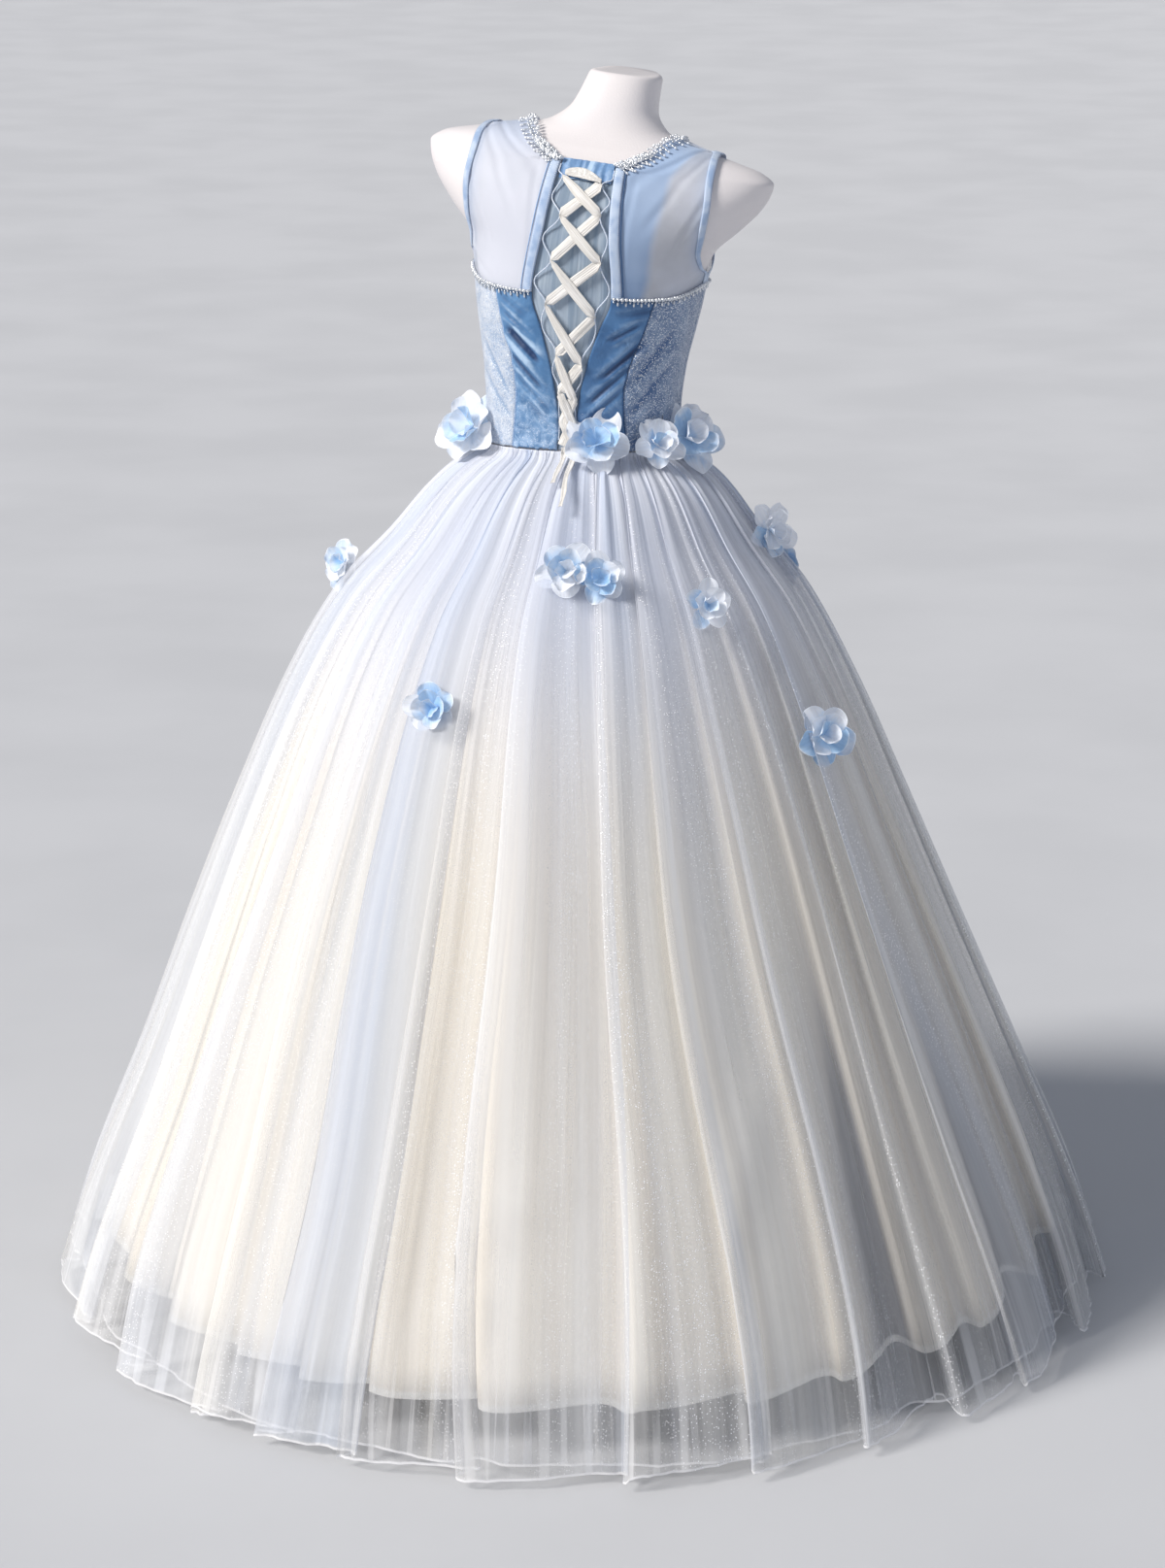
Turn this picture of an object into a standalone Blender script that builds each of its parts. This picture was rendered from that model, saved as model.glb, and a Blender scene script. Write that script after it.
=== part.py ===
"""A prom dress with a laced open back and organza flowers, standing on a limbless dress form."""
import math
from bisect import bisect_right
from collections import namedtuple

import bmesh
import bpy
from mathutils import Vector
from mathutils.bvhtree import BVHTree

# Driving sizes, in metres and degrees. The back of the dress faces +Y and the wearer's left is +X
WAIST = 1.036
BEND_START = 1.000
BEND_END = 1.385
BEND_ANGLE = math.radians(7.5)
SECTION_POWER = 2.3
NECK_START = 1.380
NECK_TOP = 1.465
NECK_FORWARD = 0.050
NECK_ASIDE = 0.008
SETTLE_STEPS = 12

SEAM_GAP = 0.0003
CLOTH = 0.0015
THIN_CLOTH = 0.0010
FORM_INSET = 0.0012
UNDER_LIFT = 0.0002
PANEL_LIFT = 0.0022
FRONT_YOKE_LIFT = 0.0034
TRIM_LIFT = PANEL_LIFT + CLOTH + 3 * SEAM_GAP
BACK_BINDING_LIFT = TRIM_LIFT + 3 * SEAM_GAP
FRONT_TRIM_LIFT = FRONT_YOKE_LIFT + CLOTH + 3 * SEAM_GAP
FRONT_BINDING_LIFT = FRONT_YOKE_LIFT + CLOTH + 11 * SEAM_GAP
SHOULDER_LIFT = 0.0016
BODICE_TOP = 1.220
YOKE_SIDE_LENGTH = 0.18
YOKE_FRONT_WIDTH = 0.30
PANEL_MARGIN = 0.8 * SEAM_GAP
PANEL_COLUMNS = 5
FRONT_PANEL_COLUMNS = 6
PANEL_ROWS = 7
SIDE_SEAM = 90.0
YOKE_COLUMNS = 7
YOKE_FRONT_COLUMNS = 20
YOKE_MIDDLE = (0.07, 0.0, 1.28)
BACK_MIDDLE = (0.0, 0.0, 1.2)
KNOT_MIDDLE = (0.0, 0.0, 1.0)
CREASE_DEPTH = 0.0011
CREASE_HEIGHT = 1.125
CREASE_SPACING = 0.042
CREASE_SLANT = 22.0
CREASE_NEAR = 12.0
CREASE_FAR = 60.0
CREASE_LOW = (1.060, 1.100)
CREASE_HIGH = (1.205, 1.170)

BINDING_WIDTH = 0.008
BINDING_WALL = 0.0012
PLACKET_ROWS = 10
YOKE_STATIONS = (0.0, 0.12, 0.25, 0.38, 0.50, 0.62, 0.74, 0.81, 0.875, 0.92, 0.96, 1.0)
BINDING_STATIONS = (0.17,) + YOKE_STATIONS[2:]
LOOP_CORD = 0.0009
LOOP_INSET = 0.0012
LOOP_STEPS = 5
LOOP_BOTTOM = 1.048
LOOP_TOP = 1.358
RIBBON_WIDTH = 0.0105
RIBBON_PINCH = 0.004
RIBBON_WALL = 0.0010
RIBBON_STEPS = 5
RIBBON_SPREADING = 1.6
RIBBON_LAST_PINCH = 0.45
RIBBON_RISING = 1.5
RIBBON_UNDER = TRIM_LIFT + 0.0006
RIBBON_OVER = TRIM_LIFT + 0.0026
RIBBON_LOOP_LIFT = 0.5 * (RIBBON_UNDER + RIBBON_OVER)
RIBBON_KNOT = 1.042
RIBBON_KNOT_SPREAD = 0.0068
RIBBON_KNOT_ASIDE = 0.002
RIBBON_KNOT_BELOW = 0.001
RIBBON_KNOT_ABOVE = 0.005
RIBBON_END_WIDTH = 0.007
RIBBON_KNOT_LIFT = 0.012
RIBBON_END_LIFT = 0.015
NECK_TRIM_RADIUS = 0.0050
BUST_TRIM_RADIUS = 0.0030
BEAD_WAIST = 0.62
BUST_TRIM_START = 0.060
NECK_TRIM_POINTS = 13
NECK_TRIM_IN = 0.03
NECK_TRIM_FROM = 0.05
NECK_TRIM_TO = 0.97
FRONT_NECK_POINTS = 31
FRONT_NECK_IN = 0.965
FRONT_NECK_FROM = 0.155
BUST_TRIM_POINTS = 21
FRONT_BUST_POINTS = 29
BUST_TRIM_STOP = 2.0
MODESTY_OVERLAP = 0.010
MODESTY_TOP = 1.364
MODESTY_NARROWS = 1.30
MODESTY_NARROWEST = 1.36
MODESTY_COLUMNS = 6
MODESTY_ROWS = 14

HEM_HEIGHT = 0.009
UNDER_HEM_RISE = 0.006
LINING_HEM = 0.060
FOLD_DEPTH = 0.012
FOLD_REACH = 1.1
FOLD_LEAN = 3.6
GATHER_DEPTH = 0.0018
OPENING_POWER = 0.7
SKIRT_DROP = 0.0015
GATHER_SPACE = 0.0066
LINING_GATHER_SPACE = 0.0020
WAIST_LIFT = 0.0010
WAIST_BLEND = 0.022
LAYER_STEP = 0.0023
TULLE_SPACE = 0.035
LINING_SPACE = 0.050
UNDER_WAVES = 15
UNDER_DEPTH = 0.005
LINING_WAVES = 12
LINING_DEPTH = 0.006
WAVE_COLUMNS = 3
SKIRT_MIDDLE = (0.0, 0.0, 0.5)

POLE_RADIUS = 0.016
BASE_RADIUS = 0.190
BASE_HEIGHT = 0.014
BASE_RIM = 0.0049
BASE_SLOPE = 0.006
BASE_FALL = 0.003
POLE_SIDES = 16
BASE_SIDES = 40
FORM_BOTTOM = 0.870
FORM_SIDES = 24

# The dress form's level sections
Section = namedtuple("Section", "height half_width back_depth front_depth")
FORM_SECTIONS = (
    Section(0.870, 0.158, 0.112, 0.105),
    Section(0.950, 0.145, 0.098, 0.100),
    Section(1.035, 0.113, 0.082, 0.095),
    Section(1.080, 0.112, 0.086, 0.098),
    Section(1.130, 0.116, 0.092, 0.108),
    Section(1.180, 0.125, 0.097, 0.124),
    Section(1.210, 0.130, 0.100, 0.134),
    Section(1.240, 0.134, 0.102, 0.132),
    Section(1.270, 0.143, 0.102, 0.120),
    Section(1.300, 0.170, 0.098, 0.106),
    Section(1.330, 0.194, 0.089, 0.094),
    Section(1.350, 0.203, 0.078, 0.082),
    Section(1.362, 0.205, 0.069, 0.072),
    Section(1.374, 0.190, 0.060, 0.063),
    Section(1.383, 0.155, 0.054, 0.057),
    Section(1.392, 0.105, 0.050, 0.053),
    Section(1.405, 0.068, 0.048, 0.050),
    Section(1.425, 0.050, 0.045, 0.047),
    Section(1.465, 0.042, 0.042, 0.042),
)

# The form's rings: spans of height with the number of rings in each, closest on the shoulders
Span = namedtuple("Span", "low high rings")
FORM_SPANS = (
    Span(FORM_BOTTOM, 0.950, 1),
    Span(0.950, 1.020, 2),
    Span(1.020, 1.230, 9),
    Span(1.230, 1.345, 8),
    Span(1.345, 1.405, 10),
    Span(1.405, NECK_TOP, 3),
)

# The skirt's outline below the waist
Ring = namedtuple("Ring", "height half_width back_depth front_depth aside")
SKIRT_RINGS = (
    Ring(0.000, 0.668, 0.668, 0.668, 0.000),
    Ring(0.106, 0.632, 0.632, 0.632, 0.002),
    Ring(0.284, 0.555, 0.555, 0.555, 0.004),
    Ring(0.457, 0.482, 0.482, 0.482, 0.009),
    Ring(0.610, 0.416, 0.416, 0.416, 0.012),
    Ring(0.754, 0.350, 0.347, 0.347, 0.013),
    Ring(0.863, 0.287, 0.279, 0.281, 0.011),
    Ring(0.928, 0.229, 0.217, 0.221, 0.007),
    Ring(0.993, 0.175, 0.157, 0.164, 0.003),
    Ring(1.036, 0.118, 0.087, 0.100, 0.000),
)

# Half the back opening's width, and the princess seams' distance from the centre back
Opening = namedtuple("Opening", "height half_width")
OPENING = (
    Opening(1.036, 0.0125),
    Opening(1.070, 0.0105),
    Opening(1.100, 0.0135),
    Opening(1.140, 0.0220),
    Opening(1.180, 0.0335),
    Opening(1.217, 0.0460),
    Opening(1.290, 0.0375),
    Opening(1.364, 0.0320),
)
Princess = namedtuple("Princess", "height distance")
BACK_PRINCESS = (
    Princess(1.036, 0.0670),
    Princess(1.100, 0.0620),
    Princess(1.138, 0.0675),
    Princess(1.170, 0.0790),
    Princess(1.220, 0.0930),
)
FRONT_PRINCESS = (
    Princess(1.036, 0.0480),
    Princess(1.120, 0.0560),
    Princess(1.240, 0.0780),
)

# Height of the seam between bodice and yoke, by angle round from the centre back
BeadLine = namedtuple("BeadLine", "turn height")
BEAD_LINE = (
    BeadLine(0.0, 1.2170),
    BeadLine(25.0, 1.2170),
    BeadLine(50.0, 1.2200),
    BeadLine(90.0, 1.2360),
    BeadLine(130.0, 1.2330),
    BeadLine(180.0, 1.2250),
)

# Rough places along the yoke's edges, which are settled onto the form
Edge = namedtuple("Edge", "x y z")
ARMHOLE_BACK = (
    Edge(0.1340, 0.000, 1.2365),
    Edge(0.1355, 0.005, 1.2500),
    Edge(0.1350, 0.028, 1.2570),
    Edge(0.134, 0.048, 1.2760),
    Edge(0.138, 0.060, 1.3020),
    Edge(0.142, 0.062, 1.3300),
    Edge(0.142, 0.054, 1.3580),
    Edge(0.140, 0.030, 1.3780),
    Edge(0.139, 0.000, 1.3870),
)
ARMHOLE_FRONT = (
    Edge(0.1340, 0.000, 1.2365),
    Edge(0.1355, -0.005, 1.2500),
    Edge(0.1340, -0.030, 1.2570),
    Edge(0.129, -0.056, 1.2760),
    Edge(0.127, -0.072, 1.3020),
    Edge(0.129, -0.070, 1.3300),
    Edge(0.134, -0.060, 1.3580),
    Edge(0.138, -0.034, 1.3780),
    Edge(0.139, 0.000, 1.3870),
)
NECKLINE_BACK = (
    Edge(0.0320, 0.073, 1.3640),
    Edge(0.0450, 0.067, 1.3710),
    Edge(0.0660, 0.052, 1.3840),
    Edge(0.0850, 0.000, 1.3950),
)
NECKLINE_FRONT = (
    Edge(0.0850, 0.000, 1.3950),
    Edge(0.0820, -0.045, 1.3830),
    Edge(0.0640, -0.075, 1.3600),
    Edge(0.0330, -0.092, 1.3430),
    Edge(0.0000, -0.098, 1.3380),
)
NECKLINE_FROM = 0.74
NECKLINE_SHARE = 0.72

# Where the ribbon passes its loops: height and distance from the centre back on each side
Lace = namedtuple("Lace", "height half_width")
LACE_LEFT = (
    Lace(1.3446, 0.0255),
    Lace(1.3036, 0.0200),
    Lace(1.2550, 0.0250),
    Lace(1.2050, 0.0280),
    Lace(1.1480, 0.0135),
    Lace(1.1050, 0.0085),
)
LACE_RIGHT = (
    Lace(1.3410, -0.0215),
    Lace(1.3087, -0.0256),
    Lace(1.2569, -0.0317),
    Lace(1.1952, -0.0292),
    Lace(1.1387, -0.0156),
    Lace(1.0980, -0.0075),
)

# Where the ribbon's free ends hang: distance from the centre back and height
Hang = namedtuple("Hang", "x height")
RIBBON_END_LEFT = (
    Hang(0.0048, 1.0410),
    Hang(0.0060, 1.0340),
    Hang(0.0075, 1.0200),
    Hang(0.0085, 1.0080),
)
RIBBON_END_RIGHT = (
    Hang(-0.0088, 1.0410),
    Hang(-0.0080, 1.0320),
    Hang(-0.0060, 1.0140),
    Hang(-0.0085, 0.9980),
    Hang(-0.0090, 0.9860),
)

# The outer tulle's overlapping folds: angle of each crest from the centre back, and share of the depth
Fold = namedtuple("Fold", "turn share")
FOLDS = (
    Fold(-176.0, 0.9), Fold(-163.0, 1.1), Fold(-149.0, 0.8), Fold(-137.0, 1.0),
    Fold(-122.0, 1.1), Fold(-109.0, 0.8), Fold(-95.0, 1.0), Fold(-81.0, 1.0),
    Fold(-66.6, 1.1), Fold(-54.0, 0.7), Fold(-43.6, 0.9), Fold(-31.4, 1.0),
    Fold(-20.4, 0.8), Fold(-4.0, 1.1), Fold(7.0, 0.6), Fold(17.0, 1.0),
    Fold(27.0, 0.9), Fold(38.0, 1.1), Fold(52.0, 1.0), Fold(65.0, 0.8),
    Fold(79.0, 1.0), Fold(92.0, 0.9), Fold(106.0, 1.1), Fold(119.0, 0.8),
    Fold(133.0, 1.0), Fold(146.0, 0.9), Fold(158.0, 1.1), Fold(171.0, 0.8),
)
FOLD_STEPS = 4
SKIRT_HEIGHTS = (WAIST, 1.012, 0.955, 0.860, 0.660, 0.400, 0.180, HEM_HEIGHT)

# The flowers: angle from the centre back, height, radius, and how far the face looks upwards
Flower = namedtuple("Flower", "turn height radius upward")
FLOWERS = (
    Flower(72.0, 1.038, 0.038, 35.0),
    Flower(-14.0, 1.035, 0.032, 35.0),
    Flower(-78.0, 1.036, 0.036, 35.0),
    Flower(-108.0, 1.040, 0.029, 35.0),
    Flower(-9.0, 0.918, 0.027, 20.0),
    Flower(-18.0, 0.912, 0.024, 20.0),
    Flower(84.0, 0.876, 0.026, 15.0),
    Flower(-45.0, 0.880, 0.022, 15.0),
    Flower(-92.0, 0.930, 0.026, 15.0),
    Flower(16.0, 0.776, 0.024, 10.0),
    Flower(-64.0, 0.728, 0.030, 10.0),
    Flower(118.0, 1.036, 0.034, 35.0),
    Flower(160.0, 1.036, 0.036, 35.0),
    Flower(-150.0, 1.036, 0.031, 35.0),
    Flower(140.0, 0.905, 0.027, 15.0),
    Flower(-128.0, 0.860, 0.028, 15.0),
    Flower(175.0, 0.820, 0.030, 15.0),
    Flower(112.0, 0.740, 0.025, 10.0),
    Flower(-160.0, 0.700, 0.028, 10.0),
    Flower(-50.0, 1.034, 0.029, 35.0),
)
PETALS = 5
PETAL_STEPS = 3
FLOWER_CUP = 0.34
FLOWER_CUP_POWER = 1.5
FLOWER_TWIST = 3.0
FLOWER_WAIST_DROP = 0.004
FLOWER_SINK = 0.6
FLOWER_INSIDE = 0.05
VALLEY_FROM = 0.9
VALLEY_REACH = 0.62
VALLEY_RISE = 0.55
FLOWER_PUSH = -0.004
FLOWER_START = {10: -0.012}
FLOWER_FURTHEST = 0.06
FLOWER_CLEARANCE = 0.0004

Finish = namedtuple("Finish", "colour roughness metallic")
FINISHES = {
    "form_white": Finish((0.86, 0.85, 0.84), 0.55, 0.0),
    "base_metal": Finish((0.70, 0.71, 0.72), 0.35, 0.9),
    "bodice_satin": Finish((0.10, 0.27, 0.52), 0.35, 0.0),
    "bodice_velvet": Finish((0.30, 0.42, 0.60), 0.55, 0.0),
    "yoke_net": Finish((0.62, 0.71, 0.86), 0.70, 0.0),
    "pale_binding": Finish((0.56, 0.70, 0.88), 0.45, 0.0),
    "modesty_net": Finish((0.36, 0.44, 0.52), 0.65, 0.0),
    "ivory_ribbon": Finish((0.88, 0.84, 0.78), 0.40, 0.0),
    "silver_bead": Finish((0.80, 0.81, 0.83), 0.20, 0.9),
    "tulle": Finish((0.82, 0.84, 0.92), 0.80, 0.0),
    "cream_lining": Finish((0.88, 0.86, 0.78), 0.60, 0.0),
    "flower_organza": Finish((0.48, 0.66, 0.87), 0.50, 0.0),
}


class Table:
    """Reads one column of a table smoothly, with no overshoot between its rows."""

    def __init__(self, rows, key, value):
        self.keys = [getattr(row, key) for row in rows]
        self.values = [getattr(row, value) for row in rows]
        steps = [b - a for a, b in zip(self.keys, self.keys[1:])]
        rises = [(b - a) / s for a, b, s in zip(self.values, self.values[1:], steps)]
        self.slopes = [rises[0]]
        for before, after in zip(rises, rises[1:]):
            same_way = before * after > 0
            self.slopes.append(2 * before * after / (before + after) if same_way else 0.0)
        self.slopes.append(rises[-1])

    def at(self, key):
        key = min(max(key, self.keys[0]), self.keys[-1])
        row = min(bisect_right(self.keys, key) - 1, len(self.keys) - 2)
        step = self.keys[row + 1] - self.keys[row]
        t = (key - self.keys[row]) / step
        start = (2 * t ** 3 - 3 * t ** 2 + 1) * self.values[row]
        leave = (t ** 3 - 2 * t ** 2 + t) * step * self.slopes[row]
        end = (3 * t ** 2 - 2 * t ** 3) * self.values[row + 1]
        arrive = (t ** 3 - t ** 2) * step * self.slopes[row + 1]
        return start + leave + end + arrive


form_half_width = Table(FORM_SECTIONS, "height", "half_width")
form_back = Table(FORM_SECTIONS, "height", "back_depth")
form_front = Table(FORM_SECTIONS, "height", "front_depth")
skirt_half_width = Table(SKIRT_RINGS, "height", "half_width")
skirt_back = Table(SKIRT_RINGS, "height", "back_depth")
skirt_front = Table(SKIRT_RINGS, "height", "front_depth")
skirt_aside = Table(SKIRT_RINGS, "height", "aside")
opening_width = Table(OPENING, "height", "half_width")
back_princess = Table(BACK_PRINCESS, "height", "distance")
front_princess = Table(FRONT_PRINCESS, "height", "distance")
bead_line = Table(BEAD_LINE, "turn", "height")


def from_back(turn):
    """An angle's distance from the centre back, on either side."""
    turn = abs(turn) % 360.0
    return min(turn, 360.0 - turn)


def mix(a, b, share):
    return a + (b - a) * share


def ease(low, high, value):
    share = min(max((value - low) / (high - low), 0.0), 1.0)
    return share * share * (3 - 2 * share)


def along(points, share):
    """A smooth curve through rough points, read at a share of its way."""
    place = min(max(share, 0.0), 1.0) * (len(points) - 1)
    index = min(int(place), len(points) - 2)
    t = place - index
    before = Vector(points[max(index - 1, 0)])
    start = Vector(points[index])
    end = Vector(points[index + 1])
    after = Vector(points[min(index + 2, len(points) - 1)])
    leave = (end - before) * 0.5
    arrive = (after - start) * 0.5
    return (
        start * (2 * t ** 3 - 3 * t ** 2 + 1)
        + leave * (t ** 3 - 2 * t ** 2 + t)
        + end * (3 * t ** 2 - 2 * t ** 3)
        + arrive * (t ** 3 - t ** 2)
    )


# The form's surface, before it is bent into the pose
def neck_centre(height):
    share = max(0.0, height - NECK_START) / (NECK_TOP - NECK_START)
    return Vector((-NECK_ASIDE * share, -NECK_FORWARD * share, height))


def level(point):
    """Below zero inside the form, above zero outside it."""
    centre = neck_centre(point.z)
    depth = form_back if point.y > centre.y else form_front
    across = abs(point.x - centre.x) / form_half_width.at(point.z)
    through = abs(point.y - centre.y) / depth.at(point.z)
    return across ** SECTION_POWER + through ** SECTION_POWER - 1.0


def slope(point):
    step = 0.0005
    parts = []
    for axis in range(3):
        shift = Vector((0.0, 0.0, 0.0))
        shift[axis] = step
        parts.append((level(point + shift) - level(point - shift)) / (2 * step))
    return Vector(parts)


def settled(rough, lift):
    """The place on the form nearest to a rough one, moved off the surface by the lift."""
    point = Vector(rough)
    for _ in range(SETTLE_STEPS):
        gradient = slope(point)
        point = point - gradient * (level(point) / max(gradient.length_squared, 1e-9))
    return point + slope(point).normalized() * lift


def round_form(height, turn, lift):
    """A place on the form by its height and its angle round from the centre back."""
    angle = math.radians(turn)
    power = 2.0 / SECTION_POWER
    across = math.copysign(abs(math.sin(angle)) ** power, math.sin(angle))
    through = math.copysign(abs(math.cos(angle)) ** power, math.cos(angle))
    depth = form_back if through > 0 else form_front
    centre = neck_centre(height)
    x = centre.x + across * form_half_width.at(height)
    y = centre.y + through * depth.at(height)
    point = Vector((x, y, height))
    if lift == 0.0:
        return point
    return point + slope(point).normalized() * lift


def turn_for(distance, height):
    """The angle at which the form's back is this far from the centre."""
    share = distance / form_half_width.at(height)
    turn = math.degrees(math.asin(min(abs(share), 1.0) ** (SECTION_POWER / 2.0)))
    return math.copysign(turn, distance)


def posed(point):
    """Bends a place above the waist into the form's leaning pose."""
    rise = max(0.0, point.z - BEND_START)
    span = BEND_END - BEND_START
    held = min(rise, span)
    angle = BEND_ANGLE * held / span
    shift = BEND_ANGLE * held * held / (2 * span) + math.tan(BEND_ANGLE) * (rise - held)
    x = point.x * math.cos(angle) - shift
    return Vector((x, point.y, point.z + point.x * math.sin(angle)))


# Materials, collections and mesh makers
def start_scene():
    for item in list(bpy.data.objects):
        bpy.data.objects.remove(item, do_unlink=True)
    group = bpy.data.collections.new("prom_dress_on_form")
    bpy.context.scene.collection.children.link(group)
    return group


def finish_material(name):
    material = bpy.data.materials.get(name) or bpy.data.materials.new(name)
    finish = FINISHES[name]
    material.use_nodes = True
    shader = material.node_tree.nodes["Principled BSDF"]
    shader.inputs["Base Color"].default_value = (*finish.colour, 1.0)
    shader.inputs["Roughness"].default_value = finish.roughness
    shader.inputs["Metallic"].default_value = finish.metallic
    return material


def keep(name, data, finish, group):
    item = bpy.data.objects.new(name, data)
    data.materials.append(finish_material(finish))
    group.objects.link(item)
    return item


def face_outwards(mesh, inside):
    """Turns all faces over if they look towards the inner place."""
    mesh.normal_update()
    facing = sum((face.calc_center_median() - inside).dot(face.normal) for face in mesh.faces)
    if facing < 0:
        bmesh.ops.reverse_faces(mesh, faces=mesh.faces)


def sheet(name, columns, rows, place, wall, finish, group, inside):
    """A cloth wall: a grid laid by a function of two shares, thickened outwards."""
    mesh = bmesh.new()
    bmesh.ops.create_grid(mesh, x_segments=columns, y_segments=rows, size=0.5)
    for vertex in mesh.verts:
        vertex.co = place(vertex.co.x + 0.5, vertex.co.y + 0.5)
    bmesh.ops.remove_doubles(mesh, verts=mesh.verts, dist=1e-6)
    face_outwards(mesh, Vector(inside))
    data = bpy.data.meshes.new(name)
    mesh.to_mesh(data)
    mesh.free()
    data.shade_smooth()
    item = keep(name, data, finish, group)
    solid = item.modifiers.new("wall", "SOLIDIFY")
    solid.thickness = wall
    solid.offset = 1.0
    solid.use_even_offset = False
    return item


def cord(name, points, radius, resolution, finish, group, radii=None):
    """A round cord or a string of beads along points."""
    data = bpy.data.curves.new(name, "CURVE")
    data.dimensions = "3D"
    data.bevel_depth = radius
    data.bevel_resolution = resolution
    data.use_fill_caps = True
    spline = data.splines.new("POLY")
    spline.points.add(len(points) - 1)
    for index, point in enumerate(points):
        spline.points[index].co = (*point, 1.0)
        spline.points[index].radius = 1.0 if radii is None else radii[index]
    return keep(name, data, finish, group)


def lathe(name, profile, sides, finish, group):
    """A turned piece from radius and height pairs, top to bottom."""
    mesh = bmesh.new()
    corners = [mesh.verts.new((radius, 0.0, height)) for radius, height in profile]
    for start, end in zip(corners, corners[1:]):
        mesh.edges.new((start, end))
    data = bpy.data.meshes.new(name)
    mesh.to_mesh(data)
    mesh.free()
    item = keep(name, data, finish, group)
    screw = item.modifiers.new("turn", "SCREW")
    screw.steps = sides
    screw.render_steps = sides
    screw.use_merge_vertices = True
    screw.merge_threshold = 0.00001
    return item


# The dress form
def form_heights():
    heights = [FORM_BOTTOM]
    for span in FORM_SPANS:
        heights += [mix(span.low, span.high, step / span.rings) for step in range(1, span.rings + 1)]
    return heights


def make_form(group):
    heights = form_heights()

    def place(u, v):
        height = heights[round(v * (len(heights) - 1))]
        return posed(round_form(height, 360.0 * u, -FORM_INSET))

    mesh = bmesh.new()
    bmesh.ops.create_grid(mesh, x_segments=FORM_SIDES, y_segments=len(heights) - 1, size=0.5)
    for vertex in mesh.verts:
        vertex.co = place(vertex.co.x + 0.5, vertex.co.y + 0.5)
    bmesh.ops.remove_doubles(mesh, verts=mesh.verts, dist=1e-6)
    bmesh.ops.holes_fill(mesh, edges=mesh.edges, sides=0)
    bmesh.ops.recalc_face_normals(mesh, faces=mesh.faces)
    data = bpy.data.meshes.new("form_torso")
    mesh.to_mesh(data)
    mesh.free()
    data.shade_smooth()
    keep("form_torso", data, "form_white", group)


def make_stand(group):
    foot = BASE_HEIGHT + SEAM_GAP
    top = FORM_BOTTOM - SEAM_GAP
    pole = [(0.0, top), (POLE_RADIUS, top), (POLE_RADIUS, foot), (0.0, foot)]
    lathe("form_pole", pole, POLE_SIDES, "base_metal", group)
    base = [
        (0.0, BASE_HEIGHT),
        (POLE_RADIUS * 2.0, BASE_HEIGHT),
        (BASE_RADIUS - BASE_SLOPE, BASE_HEIGHT - BASE_FALL),
        (BASE_RADIUS, BASE_RIM),
        (BASE_RADIUS, 0.0),
        (0.0, 0.0),
    ]
    lathe("form_base", base, BASE_SIDES, "base_metal", group)


# The bodice: panels between the waist and the bead line
def panel(name, left, right, finish, group, columns):
    """One panel between two edges, each a function of height that gives an angle."""

    def place(u, v):
        height = mix(WAIST, BODICE_TOP, v)
        margin = math.degrees(PANEL_MARGIN / form_half_width.at(height))
        turn = mix(left(height) + margin, right(height) - margin, u)
        top = bead_line.at(from_back(turn)) - SEAM_GAP
        height = mix(WAIST, top, v)
        crease = bodice_crease(turn, height)
        return posed(round_form(height, turn, PANEL_LIFT + crease))

    middle = Vector((0.0, 0.0, mix(WAIST, BODICE_TOP, 0.5)))
    sheet(name, columns, PANEL_ROWS, place, CLOTH, finish, group, middle)


def bodice_crease(turn, height):
    """Soft pulls that run down towards the lacing, deepest beside the opening."""
    along_pull = (height - CREASE_HEIGHT) / CREASE_SPACING - abs(turn) / CREASE_SLANT
    near_opening = ease(CREASE_FAR, CREASE_NEAR, abs(turn))
    fade = ease(*CREASE_LOW, height) * ease(*CREASE_HIGH, height)
    return CREASE_DEPTH * near_opening * fade * (0.5 + 0.5 * math.cos(2 * math.pi * along_pull))


def make_bodice(group):
    def opening(side):
        return lambda height: side * turn_for(opening_width.at(height), height)

    def back_seam(side):
        return lambda height: side * turn_for(back_princess.at(height), height)

    def front_seam(side):
        return lambda height: side * (180.0 - turn_for(front_princess.at(height), height))

    def side_seam(side):
        return lambda height: side * SIDE_SEAM

    for side, word in ((1, "left"), (-1, "right")):
        strips = (
            ("bodice_back_" + word, opening(side), back_seam(side), "bodice_satin"),
            ("bodice_side_back_" + word, back_seam(side), side_seam(side), "bodice_velvet"),
            ("bodice_side_front_" + word, side_seam(side), front_seam(side), "bodice_velvet"),
        )
        for name, first, second, finish in strips:
            low, high = (first, second) if side > 0 else (second, first)
            panel(name, low, high, finish, group, PANEL_COLUMNS)

    def far_seam(height):
        return 360.0 + front_seam(-1)(height)

    panel("bodice_centre_front", front_seam(1), far_seam, "bodice_satin", group, FRONT_PANEL_COLUMNS)


# The yoke: two sheer backs and one sheer front that meet at the shoulders
def inner_edge(share):
    """Up the back opening, then round the neckline to the shoulder."""
    if share < NECKLINE_FROM:
        height = mix(OPENING[-3].height, OPENING[-1].height, share / NECKLINE_FROM)
        return Vector((opening_width.at(height), form_back.at(height), height))
    return along(NECKLINE_BACK, (share - NECKLINE_FROM) / (1.0 - NECKLINE_FROM))


def bead_edge(turn):
    return round_form(bead_line.at(from_back(turn)) + SEAM_GAP, turn, 0.0)


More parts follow.
